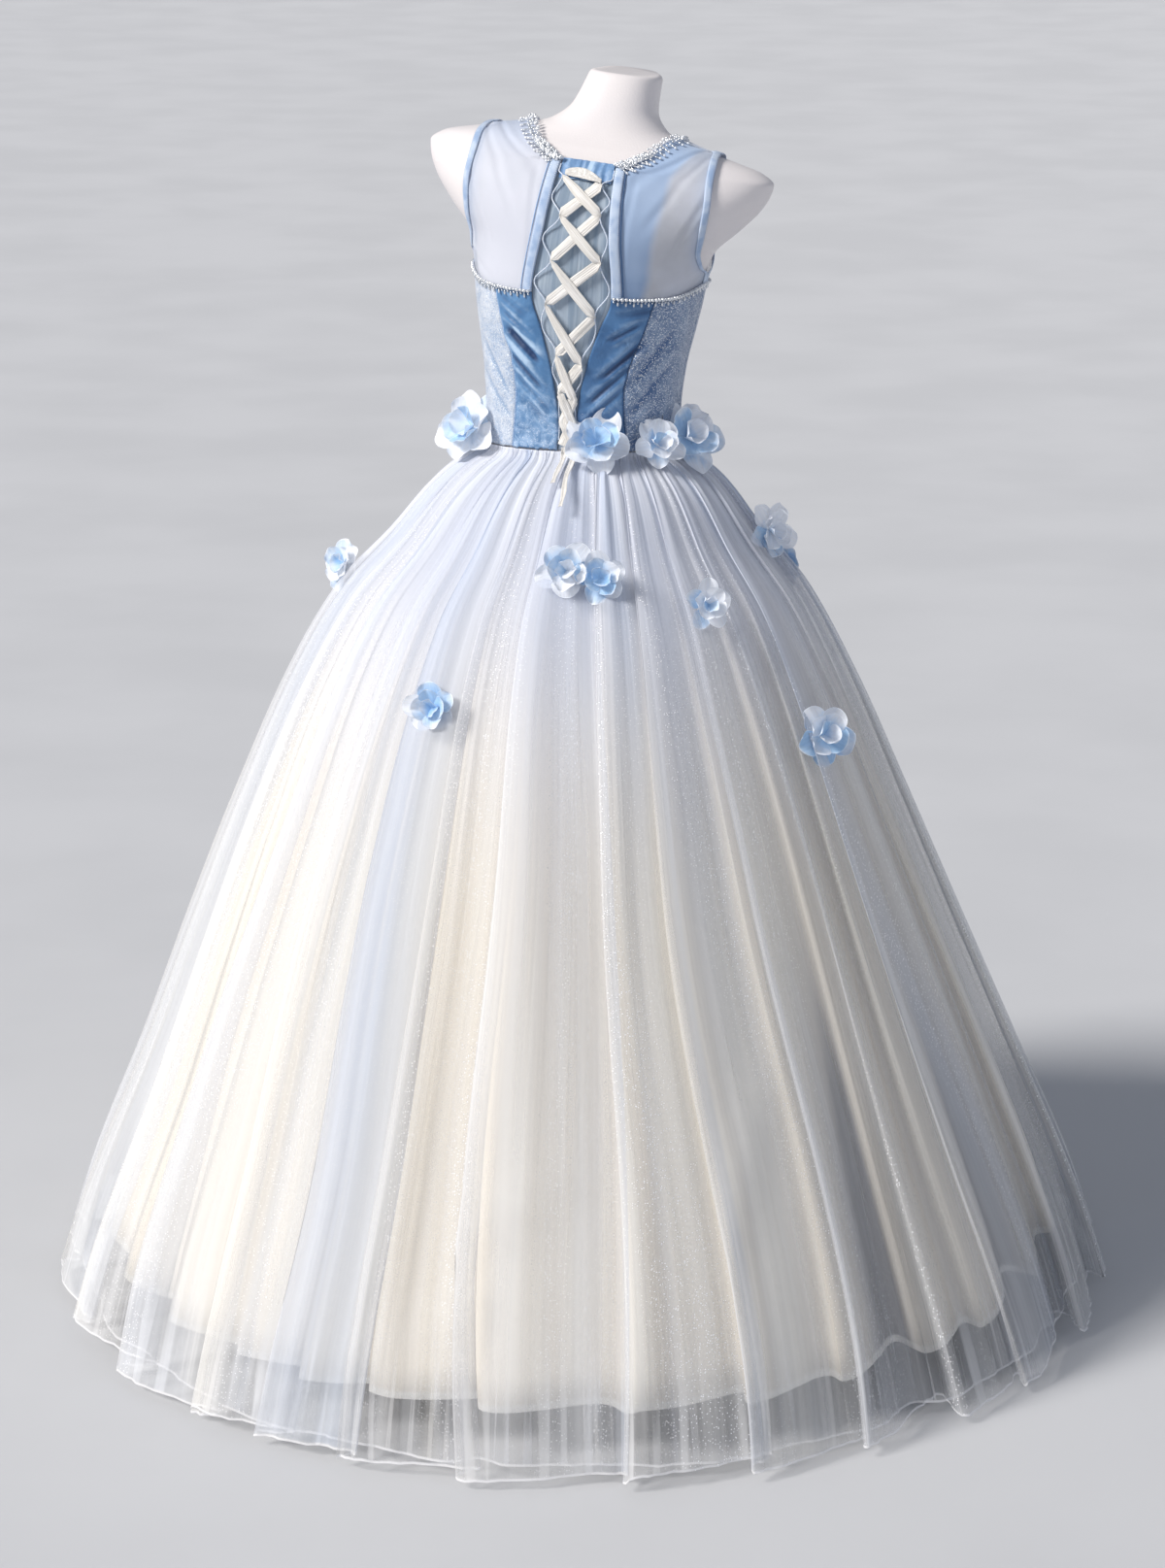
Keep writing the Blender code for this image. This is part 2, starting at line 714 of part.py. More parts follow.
def yoke_back(u, v, side, lift):
    """A place on a back yoke: u runs from opening to armhole, v from bead line to shoulder."""
    first = turn_for(opening_width.at(OPENING[-3].height), OPENING[-3].height)
    v *= 1.0 - SEAM_GAP / YOKE_SIDE_LENGTH
    inner = inner_edge(v)
    outer = along(ARMHOLE_BACK, v)
    bottom = bead_edge(mix(first, SIDE_SEAM, u))
    top = mix(Vector(NECKLINE_BACK[-1]), Vector(ARMHOLE_BACK[-1]), u)
    corners = (inner_edge(0.0), Vector(ARMHOLE_BACK[0]), inner_edge(1.0), Vector(ARMHOLE_BACK[-1]))
    point = settled(patch(u, v, inner, outer, bottom, top, corners), lift)
    point.x *= side
    return point


def patch(u, v, left, right, bottom, top, corners):
    """Blends four edges over the area that they close."""
    sides = mix(left, right, u)
    ends = mix(bottom, top, v)
    both = mix(mix(corners[0], corners[1], u), mix(corners[2], corners[3], u), v)
    return sides + ends - both


def front_top(u):
    """The front's upper edge from shoulder to shoulder, with the scooped neckline between."""
    side = 1.0 if u > 0.5 else -1.0
    reach = abs(u - 0.5) * 2.0
    if reach > NECKLINE_SHARE:
        shoulder = (reach - NECKLINE_SHARE) / (1.0 - NECKLINE_SHARE)
        point = mix(Vector(NECKLINE_FRONT[0]), Vector(ARMHOLE_FRONT[-1]), shoulder)
    else:
        point = along(NECKLINE_FRONT, 1.0 - reach / NECKLINE_SHARE)
    point.x *= side
    return point


def yoke_front(u, v, lift):
    """A place on the front yoke: u runs from the right armhole to the left one."""
    v *= 1.0 - SEAM_GAP / YOKE_SIDE_LENGTH
    right = along(ARMHOLE_FRONT, v)
    left = right.copy()
    right.x = -right.x
    bottom = bead_edge(mix(-SIDE_SEAM, SIDE_SEAM - 360.0, u))
    low = Vector(ARMHOLE_FRONT[0])
    high = Vector(ARMHOLE_FRONT[-1])
    mirror = Vector((-1.0, 1.0, 1.0))
    corners = (low * mirror, low, high * mirror, high)
    lift += SHOULDER_LIFT * ease(0.7, 0.95, v)
    return settled(patch(u, v, right, left, bottom, front_top(u), corners), lift)


def yoke_middle(side):
    return Vector((side * YOKE_MIDDLE[0], YOKE_MIDDLE[1], YOKE_MIDDLE[2]))


def make_yoke(group):
    rows = len(YOKE_STATIONS) - 1
    for side, word in ((1, "left"), (-1, "right")):

        def place(u, v, side=side):
            return posed(yoke_back(u, YOKE_STATIONS[round(v * rows)], side, PANEL_LIFT))

        sheet("yoke_back_" + word, YOKE_COLUMNS, rows, place, CLOTH, "yoke_net", group, yoke_middle(side))

    def front(u, v):
        return posed(yoke_front(u, YOKE_STATIONS[round(v * rows)], FRONT_YOKE_LIFT))

    sheet("yoke_front", YOKE_FRONT_COLUMNS, rows, front, CLOTH, "yoke_net", group, yoke_middle(0))


# Bindings, loops, modesty panel and lacing
def band_share(width, v, side):
    """The share of the yoke's width that a band of this width takes."""
    across = (yoke_back(0.0, v, side, 0.0) - yoke_back(1.0, v, side, 0.0)).length
    return width / max(across, width)


def make_bindings(group):
    rows = 2 * len(BINDING_STATIONS) - 1
    for side, word in ((1, "left"), (-1, "right")):

        def armhole(u, v, side=side):
            row = round(v * rows)
            if row < len(BINDING_STATIONS):
                station = BINDING_STATIONS[row]
                share = band_share(BINDING_WIDTH, station, side)
                return posed(yoke_back(1.0 - share * u, station, side, BACK_BINDING_LIFT))
            share = BINDING_WIDTH / YOKE_FRONT_WIDTH
            across = 1.0 - share * u if side > 0 else share * u
            return posed(yoke_front(across, BINDING_STATIONS[rows - row], FRONT_BINDING_LIFT))

        name = "armhole_binding_" + word
        sheet(name, 1, rows, armhole, BINDING_WALL, "pale_binding", group, yoke_middle(side))

        def placket(u, v, side=side):
            station = v * NECKLINE_FROM
            share = band_share(BINDING_WIDTH, station, side)
            return posed(yoke_back(share * u, station, side, TRIM_LIFT))

        name = "placket_binding_" + word
        sheet(name, 1, PLACKET_ROWS, placket, BINDING_WALL, "pale_binding", group, yoke_middle(side))


def on_back(x, height, lift):
    """A place on the back at this distance from the centre."""
    return settled((x, form_back.at(height), height), lift)


def make_loops(group):
    """The scalloped cords along the opening that the ribbon passes through."""
    lift = PANEL_LIFT + LOOP_CORD
    for side, word, laces in ((1, "left", LACE_LEFT), (-1, "right", LACE_RIGHT)):
        points = []
        stops = [LOOP_BOTTOM] + [row.height for row in reversed(laces)] + [LOOP_TOP]
        reaches = [0.0] + [abs(row.half_width) for row in reversed(laces)] + [0.0]
        for index in range((len(stops) - 1) * LOOP_STEPS + 1):
            row = min(index // LOOP_STEPS, len(stops) - 2)
            share = index / LOOP_STEPS - row
            height = mix(stops[row], stops[row + 1], share)
            edge = opening_width.at(height) - LOOP_INSET
            nearest = reaches[row] if share < 0.5 else reaches[row + 1]
            scallop = math.cos(math.pi * share) ** 2 * (1.0 if nearest > 0.0 else 0.0)
            x = mix(edge, nearest, scallop)
            rise = mix(lift, RIBBON_LOOP_LIFT - LOOP_CORD - SEAM_GAP, scallop)
            points.append(posed(on_back(side * x, height, rise)))
        cord("loop_strip_" + word, points, LOOP_CORD, 0, "pale_binding", group)


def make_modesty(group):
    def place(u, v):
        height = mix(WAIST + SEAM_GAP, MODESTY_TOP, v)
        overlap = MODESTY_OVERLAP * ease(MODESTY_NARROWEST, MODESTY_NARROWS, height)
        reach = opening_width.at(height) + overlap
        return posed(on_back(mix(-reach, reach, u), height, UNDER_LIFT))

    columns, rows = MODESTY_COLUMNS, MODESTY_ROWS
    sheet("modesty_panel", columns, rows, place, THIN_CLOTH, "modesty_net", group, BACK_MIDDLE)


def lace_route(first_side):
    """The ribbon's stops down the back, from one side's loop to the other's."""
    stops = []
    start = 0 if first_side > 0 else 1
    for index in range(len(LACE_LEFT)):
        left_turn = (index + start) % 2 == 0
        stops.append(LACE_LEFT[index] if left_turn else LACE_RIGHT[index])
    return stops


def ribbon_place(stops):
    """A strand of ribbon over its stops: it narrows at each loop and crosses over or under."""
    spans = len(stops) - 1

    def place(u, v):
        index = min(int(v * spans + 1e-6), spans - 1)
        share = v * spans - index
        a, b = stops[index], stops[index + 1]
        swell = math.sin(math.pi * share)
        width = mix(RIBBON_PINCH, RIBBON_WIDTH, min(1.0, swell * RIBBON_SPREADING))
        if index == spans - 1:
            width = mix(width, RIBBON_PINCH, RIBBON_LAST_PINCH)
        run = Vector((b.half_width - a.half_width, b.height - a.height))
        if share < 0.01 and index > 0:
            run = Vector((0.0, -1.0))
        across = Vector((-run.y, run.x)).normalized() * (u - 0.5) * width
        x = mix(a.half_width, b.half_width, share) + across.x
        height = mix(a.height, b.height, share) + across.y
        crossing = RIBBON_OVER if b.half_width < a.half_width else RIBBON_UNDER
        lift = mix(RIBBON_LOOP_LIFT, crossing, min(1.0, swell * RIBBON_RISING))
        return posed(on_back(x, height, lift))

    return place


def make_lacing(group):
    """Two ribbon strands that cross between the loops down to the waist."""
    for first_side, word in ((1, "first"), (-1, "second")):
        stops = lace_route(first_side)
        stops.append(Lace(RIBBON_KNOT, -RIBBON_KNOT_SPREAD * first_side - RIBBON_KNOT_ASIDE))
        rows = (len(stops) - 1) * RIBBON_STEPS
        place = ribbon_place(stops)
        name = "lacing_" + word
        sheet(name, 2, rows, place, RIBBON_WALL, "ivory_ribbon", group, BACK_MIDDLE)


def make_ribbon_ends(group):
    """The ribbon's two free ends, which hang from the knot over the skirt's gathers."""
    for word, hangs in (("left", RIBBON_END_LEFT), ("right", RIBBON_END_RIGHT)):

        def place(u, v, hangs=hangs):
            spot = along([(row.x, 0.0, row.height) for row in hangs], 1.0 - v)
            x = spot.x + (u - 0.5) * RIBBON_END_WIDTH
            low = skirt_ring(0.0, spot.z, 0.0, 0.0).y + RIBBON_END_LIFT
            high = form_back.at(spot.z) + RIBBON_KNOT_LIFT
            raised = ease(WAIST - RIBBON_KNOT_BELOW, WAIST + RIBBON_KNOT_ABOVE, spot.z)
            return posed(Vector((x, mix(low, high, raised), spot.z)))

        rows = 2 * len(hangs)
        name = "lacing_end_" + word
        sheet(name, 1, rows, place, RIBBON_WALL, "ivory_ribbon", group, KNOT_MIDDLE)


# The beaded trims
def beaded(name, points, radius, finish, group):
    """A string of beads: every other point of the cord swells."""
    radii = [1.0 if index % 2 else BEAD_WAIST for index in range(len(points))]
    cord(name, points, radius, 1, finish, group, radii)


def shares(count):
    return [step / (count - 1) for step in range(count)]


def make_trims(group):
    neck_lift = PANEL_LIFT + CLOTH + NECK_TRIM_RADIUS
    for side, word in ((1, "left"), (-1, "right")):
        points = []
        for share in shares(NECK_TRIM_POINTS):
            v = mix(NECKLINE_FROM + NECK_TRIM_FROM, NECK_TRIM_TO, share)
            points.append(posed(yoke_back(NECK_TRIM_IN, v, side, neck_lift)))
        beaded("neckline_trim_back_" + word, points, NECK_TRIM_RADIUS, "silver_bead", group)
        first = turn_for(BUST_TRIM_START, OPENING[-3].height)
        points = []
        for share in shares(BUST_TRIM_POINTS):
            turn = side * mix(first, SIDE_SEAM - BUST_TRIM_STOP, share)
            height = bead_line.at(from_back(turn))
            points.append(posed(round_form(height, turn, TRIM_LIFT + BUST_TRIM_RADIUS)))
        beaded("bust_trim_back_" + word, points, BUST_TRIM_RADIUS, "silver_bead", group)
    points = []
    for share in shares(FRONT_NECK_POINTS):
        u = mix(FRONT_NECK_FROM, 1.0 - FRONT_NECK_FROM, share)
        points.append(posed(yoke_front(u, FRONT_NECK_IN, FRONT_TRIM_LIFT + NECK_TRIM_RADIUS)))
    beaded("neckline_trim_front", points, NECK_TRIM_RADIUS, "silver_bead", group)
    points = []
    for share in shares(FRONT_BUST_POINTS):
        turn = mix(SIDE_SEAM + BUST_TRIM_STOP, 360.0 - SIDE_SEAM - BUST_TRIM_STOP, share)
        height = bead_line.at(from_back(turn))
        points.append(posed(round_form(height, turn, FRONT_TRIM_LIFT + BUST_TRIM_RADIUS)))
    beaded("bust_trim_front", points, BUST_TRIM_RADIUS, "silver_bead", group)


# The skirt's three layers
def spread(height):
    """How far the skirt has opened, from none at the waist to one at the hem."""
    waist = skirt_half_width.at(WAIST)
    return (skirt_half_width.at(height) - waist) / (skirt_half_width.at(0.0) - waist)


def growth(height):
    """How far the folds have grown, which is faster than the skirt opens."""
    return max(0.0, spread(height)) ** OPENING_POWER


def gathering(opened):
    """The share of the fine gathers below the waist seam."""
    return ease(0.0, 0.10, opened) * ease(0.60, 0.20, opened)


def skirt_ring(turn, height, inset, waist_lift):
    """The skirt's smooth outline, set in by a distance that grows from the waist."""
    angle = math.radians(turn)
    depth = skirt_back if math.cos(angle) > 0 else skirt_front
    x = skirt_aside.at(height) + math.sin(angle) * (skirt_half_width.at(height) - inset)
    y = math.cos(angle) * (depth.at(height) - inset)
    low = Vector((x, y, height))
    near_waist = ease(WAIST - WAIST_BLEND, WAIST - SKIRT_DROP, height)
    if near_waist == 0.0:
        return low
    return mix(low, round_form(height, turn, waist_lift), near_waist)


def outward(turn):
    angle = math.radians(turn)
    return Vector((math.sin(angle), math.cos(angle), 0.0))


def outer_tulle(column, height):
    """Overlapping folds: each crest leans over the hollow beside it."""
    fold = column // FOLD_STEPS
    share = (column % FOLD_STEPS) / FOLD_STEPS
    start = FOLDS[fold % len(FOLDS)]
    end = FOLDS[(fold + 1) % len(FOLDS)]
    gap = (end.turn - start.turn) % 360.0
    opened = growth(height)
    depth = FOLD_DEPTH * mix(start.share, end.share, share) * opened
    wave = math.cos(2 * math.pi * share) * depth
    gather = gathering(opened)
    wave += GATHER_DEPTH * gather * (1.0 if column % 2 else -1.0)
    inset = FOLD_DEPTH * FOLD_REACH * opened + GATHER_DEPTH * gather
    radius = skirt_half_width.at(height) - inset
    lean = math.degrees(FOLD_LEAN * math.cos(2 * math.pi * share) * depth / radius)
    turn = start.turn + gap * share + lean
    lift = WAIST_LIFT + 2 * LAYER_STEP
    return skirt_ring(turn, height, inset, lift) + outward(turn) * wave


def inner_layer(turn, height, waves, depth, space, steps):
    """A layer under the folds, with its own soft waves."""
    opened = growth(height)
    wave = math.cos(math.radians(turn) * waves) * depth * opened
    gathers = GATHER_SPACE + (1 - steps) * LINING_GATHER_SPACE
    inset = space * opened + gathers * gathering(opened)
    lift = WAIST_LIFT + steps * LAYER_STEP
    return skirt_ring(turn, height, inset, lift) + outward(turn) * wave


def skirt_row(row, hem):
    """The height of one row of the skirt's walls, the same in each layer down to its hem."""
    return max(SKIRT_HEIGHTS[row], hem) - SKIRT_DROP * (1.0 if row == 0 else 0.0)


def make_skirt(group):
    columns = len(FOLDS) * FOLD_STEPS
    last = len(SKIRT_HEIGHTS) - 1

    def tulle(u, v):
        height = skirt_row(round(v * last), HEM_HEIGHT)
        return posed(outer_tulle(round(u * columns) % columns, height))

    sheet("skirt_tulle_outer", columns, last, tulle, THIN_CLOTH, "tulle", group, SKIRT_MIDDLE)

    def under(u, v):
        height = skirt_row(round(v * last), HEM_HEIGHT + UNDER_HEM_RISE)
        turn = 360.0 * u
        return posed(inner_layer(turn, height, UNDER_WAVES, UNDER_DEPTH, TULLE_SPACE, 1))

    columns = UNDER_WAVES * WAVE_COLUMNS
    sheet("skirt_tulle_under", columns, last, under, THIN_CLOTH, "tulle", group, SKIRT_MIDDLE)

    def lining(u, v):
        height = skirt_row(round(v * last), LINING_HEM)
        turn = 360.0 * u
        return posed(inner_layer(turn, height, LINING_WAVES, LINING_DEPTH, LINING_SPACE, 0))

    columns = LINING_WAVES * WAVE_COLUMNS
    sheet("skirt_lining", columns, last, lining, THIN_CLOTH, "cream_lining", group, SKIRT_MIDDLE)


# The flowers
def solid_tree(items):
    """One search tree over the finished walls of several pieces."""
    graph = bpy.context.evaluated_depsgraph_get()
    corners = []
    faces = []
    for item in items:
        shown = item.evaluated_get(graph)
        data = shown.to_mesh()
        first = len(corners)
        corners += [item.matrix_world @ vertex.co for vertex in data.vertices]
        faces += [[first + index for index in face.vertices] for face in data.polygons]
        shown.to_mesh_clear()
    return BVHTree.FromPolygons(corners, faces)


def flower_frame(flower):
    """The flower's centre, its facing direction and its two side directions."""
    height = min(flower.height, WAIST - FLOWER_WAIST_DROP)
    inset = FOLD_DEPTH * FLOWER_SINK * growth(height)
    centre = skirt_ring(flower.turn, height, inset, PANEL_LIFT)
    centre.z = flower.height
    facing = outward(flower.turn)
    facing.z = math.tan(math.radians(flower.upward))
    facing.normalize()
    aside = facing.cross(Vector((0.0, 0.0, 1.0))).normalized()
    return centre, facing, aside, aside.cross(facing)


def flower_place(flower, push):
    centre, facing, aside, up = flower_frame(flower)

    def place(u, v):
        step = round(u * PETALS * PETAL_STEPS) % (PETALS * PETAL_STEPS)
        angle = 2 * math.pi * step / (PETALS * PETAL_STEPS) + math.radians(flower.turn * FLOWER_TWIST)
        in_valley = step % PETAL_STEPS == 0
        reach = flower.radius * v * (VALLEY_REACH if in_valley and v > VALLEY_FROM else 1.0)
        rise = flower.radius * FLOWER_CUP * v ** FLOWER_CUP_POWER * (VALLEY_RISE if in_valley else 1.0)
        flat = aside * math.cos(angle) * reach + up * math.sin(angle) * reach
        return posed(centre + flat + facing * (rise + push))

    return place


def flower_sheet(name, flower, push, group):
    place = flower_place(flower, push)
    inside = posed(flower_frame(flower)[0] - outward(flower.turn) * FLOWER_INSIDE)
    return sheet(name, PETALS * PETAL_STEPS, 2, place, THIN_CLOTH, "flower_organza", group, inside)


def discard(item):
    data = item.data
    bpy.data.objects.remove(item, do_unlink=True)
    bpy.data.meshes.remove(data)


def make_flowers(group):
    """Each flower is moved out until it clears what it rests on."""
    carriers = [item for item in group.objects if not item.name.startswith("form")]
    for number, flower in enumerate(FLOWERS, 1):
        name = "flower_%02d" % number
        tree = solid_tree(carriers)
        push = FLOWER_START.get(number, FLOWER_PUSH)
        met = False
        while push < FLOWER_FURTHEST:
            item = flower_sheet(name, flower, push, group)
            overlap = bool(solid_tree([item]).overlap(tree))
            discard(item)
            if met and not overlap:
                break
            met = met or overlap
            push += SEAM_GAP
        carriers.append(flower_sheet(name, flower, push + FLOWER_CLEARANCE, group))


def main():
    group = start_scene()
    make_form(group)
    make_stand(group)
    make_bodice(group)
    make_yoke(group)
    make_bindings(group)
    make_loops(group)
    make_modesty(group)
    make_lacing(group)
    make_ribbon_ends(group)
    make_trims(group)
    make_skirt(group)
    bpy.context.view_layer.update()
    make_flowers(group)


main()
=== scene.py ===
import math
import random
from bisect import bisect_right
from collections import namedtuple

import bmesh
import bpy
from mathutils import Matrix, Vector, noise


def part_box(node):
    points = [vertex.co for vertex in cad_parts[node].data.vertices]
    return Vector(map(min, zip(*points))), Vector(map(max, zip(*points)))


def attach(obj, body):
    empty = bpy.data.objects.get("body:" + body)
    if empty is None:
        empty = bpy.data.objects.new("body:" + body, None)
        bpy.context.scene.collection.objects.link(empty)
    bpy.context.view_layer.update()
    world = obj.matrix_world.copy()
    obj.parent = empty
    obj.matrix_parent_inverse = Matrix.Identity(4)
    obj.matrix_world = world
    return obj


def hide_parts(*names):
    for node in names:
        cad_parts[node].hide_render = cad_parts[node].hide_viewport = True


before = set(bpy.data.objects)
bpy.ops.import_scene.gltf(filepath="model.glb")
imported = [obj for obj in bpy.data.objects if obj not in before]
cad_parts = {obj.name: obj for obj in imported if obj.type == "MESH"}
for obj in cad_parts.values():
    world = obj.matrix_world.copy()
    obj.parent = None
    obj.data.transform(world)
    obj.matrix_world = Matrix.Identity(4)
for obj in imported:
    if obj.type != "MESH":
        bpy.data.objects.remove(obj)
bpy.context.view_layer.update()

# Sizes in metres and degrees. The back of the dress faces +Y and the wearer's left is +X
WAIST = 1.036
BEND_START = 1.000
BEND_END = 1.385
BEND_ANGLE = math.radians(7.5)
SECTION_POWER = 2.3
NECK_START = 1.380
NECK_TOP = 1.465
NECK_FORWARD = 0.050
NECK_ASIDE = 0.008
NECK_FOOT = 1.410
NECK_ROUNDING = 0.006
SHOULDER_LOW = 1.340
FORM_BOTTOM = 0.870

SEAM_GAP = 0.0003
PANEL_FACE = 0.0037
BINDING_FACE = 0.0044
BINDING_WIDTH = 0.0095
BINDING_CUT = 0.0120
BODICE_TOP = 1.220
YOKE_FRONT_WIDTH = 0.30
BODICE_WALL = 0.0008
TAPE_WALL = 0.0006
RIBBON_WALL = 0.0004

LOOP_CORD = 0.0008
LOOP_INSET = 0.0012
LOOP_BOTTOM = 1.048
LOOP_TOP = 1.358
RIBBON_WIDTH = 0.0121
RIBBON_PINCH = 0.0044
RIBBON_UNDER = 0.0056
RIBBON_OVER = 0.0076
RIBBON_KNOT = 1.042
RIBBON_CREASE = 0.0011
RIBBON_CROWN = 0.0006
TOP_FOLD_WIDTH = 0.0105
TOP_FOLD_ARCH = 0.003
RIBBON_END_WIDTH = 0.007
RIBBON_KNOT_LIFT = 0.0125
RIBBON_END_LIFT = 0.0155
MODESTY_OVERLAP = 0.010
MODESTY_TOP = 1.364

HEM_HEIGHT = 0.009
LINING_HEM = 0.060
FOLD_DEPTH = 0.012
FOLD_REACH = 1.1
FOLD_LEAN = 3.6
GATHER_DEPTH = 0.0018
GATHER_SPACE = 0.0066
LINING_GATHER_SPACE = 0.0020
OPENING_POWER = 0.7
SKIRT_DROP = 0.0015
WAIST_LIFT = 0.0010
WAIST_BLEND = 0.022
LAYER_STEP = 0.0023
TULLE_SPACE = 0.035
LINING_SPACE = 0.050
UNDER_WAVES = 15
UNDER_DEPTH = 0.005
LINING_DEPTH = 0.013
LINING_LEAN = 2.0
ROW_BUNCHING = 1.7

# The dress form's level sections
Section = namedtuple("Section", "height half_width back_depth front_depth")
FORM_SECTIONS = (
    Section(0.870, 0.158, 0.112, 0.105),
    Section(0.950, 0.145, 0.098, 0.100),
    Section(1.035, 0.113, 0.082, 0.095),
    Section(1.080, 0.112, 0.086, 0.098),
    Section(1.130, 0.116, 0.092, 0.108),
    Section(1.180, 0.125, 0.097, 0.124),
    Section(1.210, 0.130, 0.100, 0.134),
    Section(1.240, 0.134, 0.102, 0.132),
    Section(1.270, 0.143, 0.102, 0.120),
    Section(1.300, 0.170, 0.098, 0.106),
    Section(1.330, 0.194, 0.089, 0.094),
    Section(1.350, 0.203, 0.078, 0.082),
    Section(1.362, 0.205, 0.069, 0.072),
    Section(1.374, 0.190, 0.060, 0.063),
    Section(1.383, 0.155, 0.054, 0.057),
    Section(1.392, 0.105, 0.050, 0.053),
    Section(1.405, 0.068, 0.048, 0.050),
    Section(1.425, 0.050, 0.045, 0.047),
    Section(1.465, 0.042, 0.042, 0.042),
)

# The skirt's outline below the waist
Ring = namedtuple("Ring", "height half_width back_depth front_depth aside")
SKIRT_RINGS = (
    Ring(0.000, 0.668, 0.668, 0.668, 0.000),
    Ring(0.106, 0.632, 0.632, 0.632, 0.002),
    Ring(0.284, 0.555, 0.555, 0.555, 0.004),
    Ring(0.457, 0.482, 0.482, 0.482, 0.009),
    Ring(0.610, 0.416, 0.416, 0.416, 0.012),
    Ring(0.754, 0.350, 0.347, 0.347, 0.013),
    Ring(0.863, 0.287, 0.279, 0.281, 0.011),
    Ring(0.928, 0.229, 0.217, 0.221, 0.007),
    Ring(0.993, 0.175, 0.157, 0.164, 0.003),
    Ring(1.036, 0.118, 0.087, 0.100, 0.000),
)

# Half the back opening's width, and the princess seams' distance from the centre back
Opening = namedtuple("Opening", "height half_width")
OPENING = (
    Opening(1.036, 0.0125),
    Opening(1.070, 0.0105),
    Opening(1.100, 0.0135),
    Opening(1.140, 0.0220),
    Opening(1.180, 0.0335),
    Opening(1.217, 0.0460),
    Opening(1.290, 0.0375),
    Opening(1.364, 0.0320),
)
Princess = namedtuple("Princess", "height distance")
BACK_PRINCESS = (
    Princess(1.036, 0.0670),
    Princess(1.100, 0.0620),
    Princess(1.138, 0.0675),
    Princess(1.170, 0.0790),
    Princess(1.220, 0.0930),
)
FRONT_PRINCESS = (
    Princess(1.036, 0.0480),
    Princess(1.120, 0.0560),
    Princess(1.240, 0.0780),
)

# Height of the seam between bodice and yoke, by angle round from the centre back
BeadLine = namedtuple("BeadLine", "turn height")
BEAD_LINE = (
    BeadLine(0.0, 1.2170),
    BeadLine(25.0, 1.2170),
    BeadLine(50.0, 1.2200),
    BeadLine(90.0, 1.2360),
    BeadLine(130.0, 1.2330),
    BeadLine(180.0, 1.2250),
)

# Rough places along the yoke's edges, which are settled onto the form
Edge = namedtuple("Edge", "x y z")
ARMHOLE_BACK = (
    Edge(0.1340, 0.000, 1.2365),
    Edge(0.1355, 0.005, 1.2500),
    Edge(0.1350, 0.028, 1.2570),
    Edge(0.134, 0.048, 1.2760),
    Edge(0.138, 0.060, 1.3020),
    Edge(0.142, 0.062, 1.3300),
    Edge(0.142, 0.054, 1.3580),
    Edge(0.140, 0.030, 1.3780),
    Edge(0.139, 0.000, 1.3870),
)
ARMHOLE_FRONT = (
    Edge(0.1340, 0.000, 1.2365),
    Edge(0.1355, -0.005, 1.2500),
    Edge(0.1340, -0.030, 1.2570),
    Edge(0.129, -0.056, 1.2760),
    Edge(0.127, -0.072, 1.3020),
    Edge(0.129, -0.070, 1.3300),
    Edge(0.134, -0.060, 1.3580),
    Edge(0.138, -0.034, 1.3780),
    Edge(0.139, 0.000, 1.3870),
)
NECKLINE_BACK = (
    Edge(0.0320, 0.073, 1.3640),
    Edge(0.0450, 0.067, 1.3710),
    Edge(0.0660, 0.052, 1.3840),
    Edge(0.0850, 0.000, 1.3950),
)
NECKLINE_FRONT = (
    Edge(0.0850, 0.000, 1.3950),
    Edge(0.0820, -0.045, 1.3830),
    Edge(0.0640, -0.075, 1.3600),
    Edge(0.0330, -0.092, 1.3430),
    Edge(0.0000, -0.098, 1.3380),
)
NECKLINE_FROM = 0.74
NECKLINE_SHARE = 0.72

# Where the ribbon passes its loops: height and distance from the centre back on each side
Lace = namedtuple("Lace", "height half_width")
LACE_LEFT = (
    Lace(1.3446, 0.0255),
    Lace(1.3036, 0.0200),
    Lace(1.2550, 0.0250),
    Lace(1.2050, 0.0280),
    Lace(1.1480, 0.0135),
    Lace(1.1050, 0.0085),
)
LACE_RIGHT = (
    Lace(1.3410, -0.0215),
    Lace(1.3087, -0.0256),
    Lace(1.2569, -0.0317),
    Lace(1.1952, -0.0292),
    Lace(1.1387, -0.0156),
    Lace(1.0980, -0.0075),
)

# Where the ribbon lies folded over at the top, and below the last loops
TOP_FOLD_LEFT = Lace(1.3490, 0.0235)
TOP_FOLD_RIGHT = Lace(1.3440, -0.0200)
LAST_CROSSING = Lace(1.0700, 0.0050)
KNOT = Lace(RIBBON_KNOT, -0.0068)

# Where the ribbon's free ends hang: distance from the centre back and height
Hang = namedtuple("Hang", "x height")
RIBBON_END_LEFT = (
    Hang(0.0020, 1.0410),
    Hang(0.0018, 1.0340),
    Hang(0.0022, 1.0200),
    Hang(0.0030, 1.0080),
)
RIBBON_END_RIGHT = (
    Hang(-0.0088, 1.0410),
    Hang(-0.0098, 1.0320),
    Hang(-0.0105, 1.0140),
    Hang(-0.0130, 0.9980),
    Hang(-0.0125, 0.9860),
)

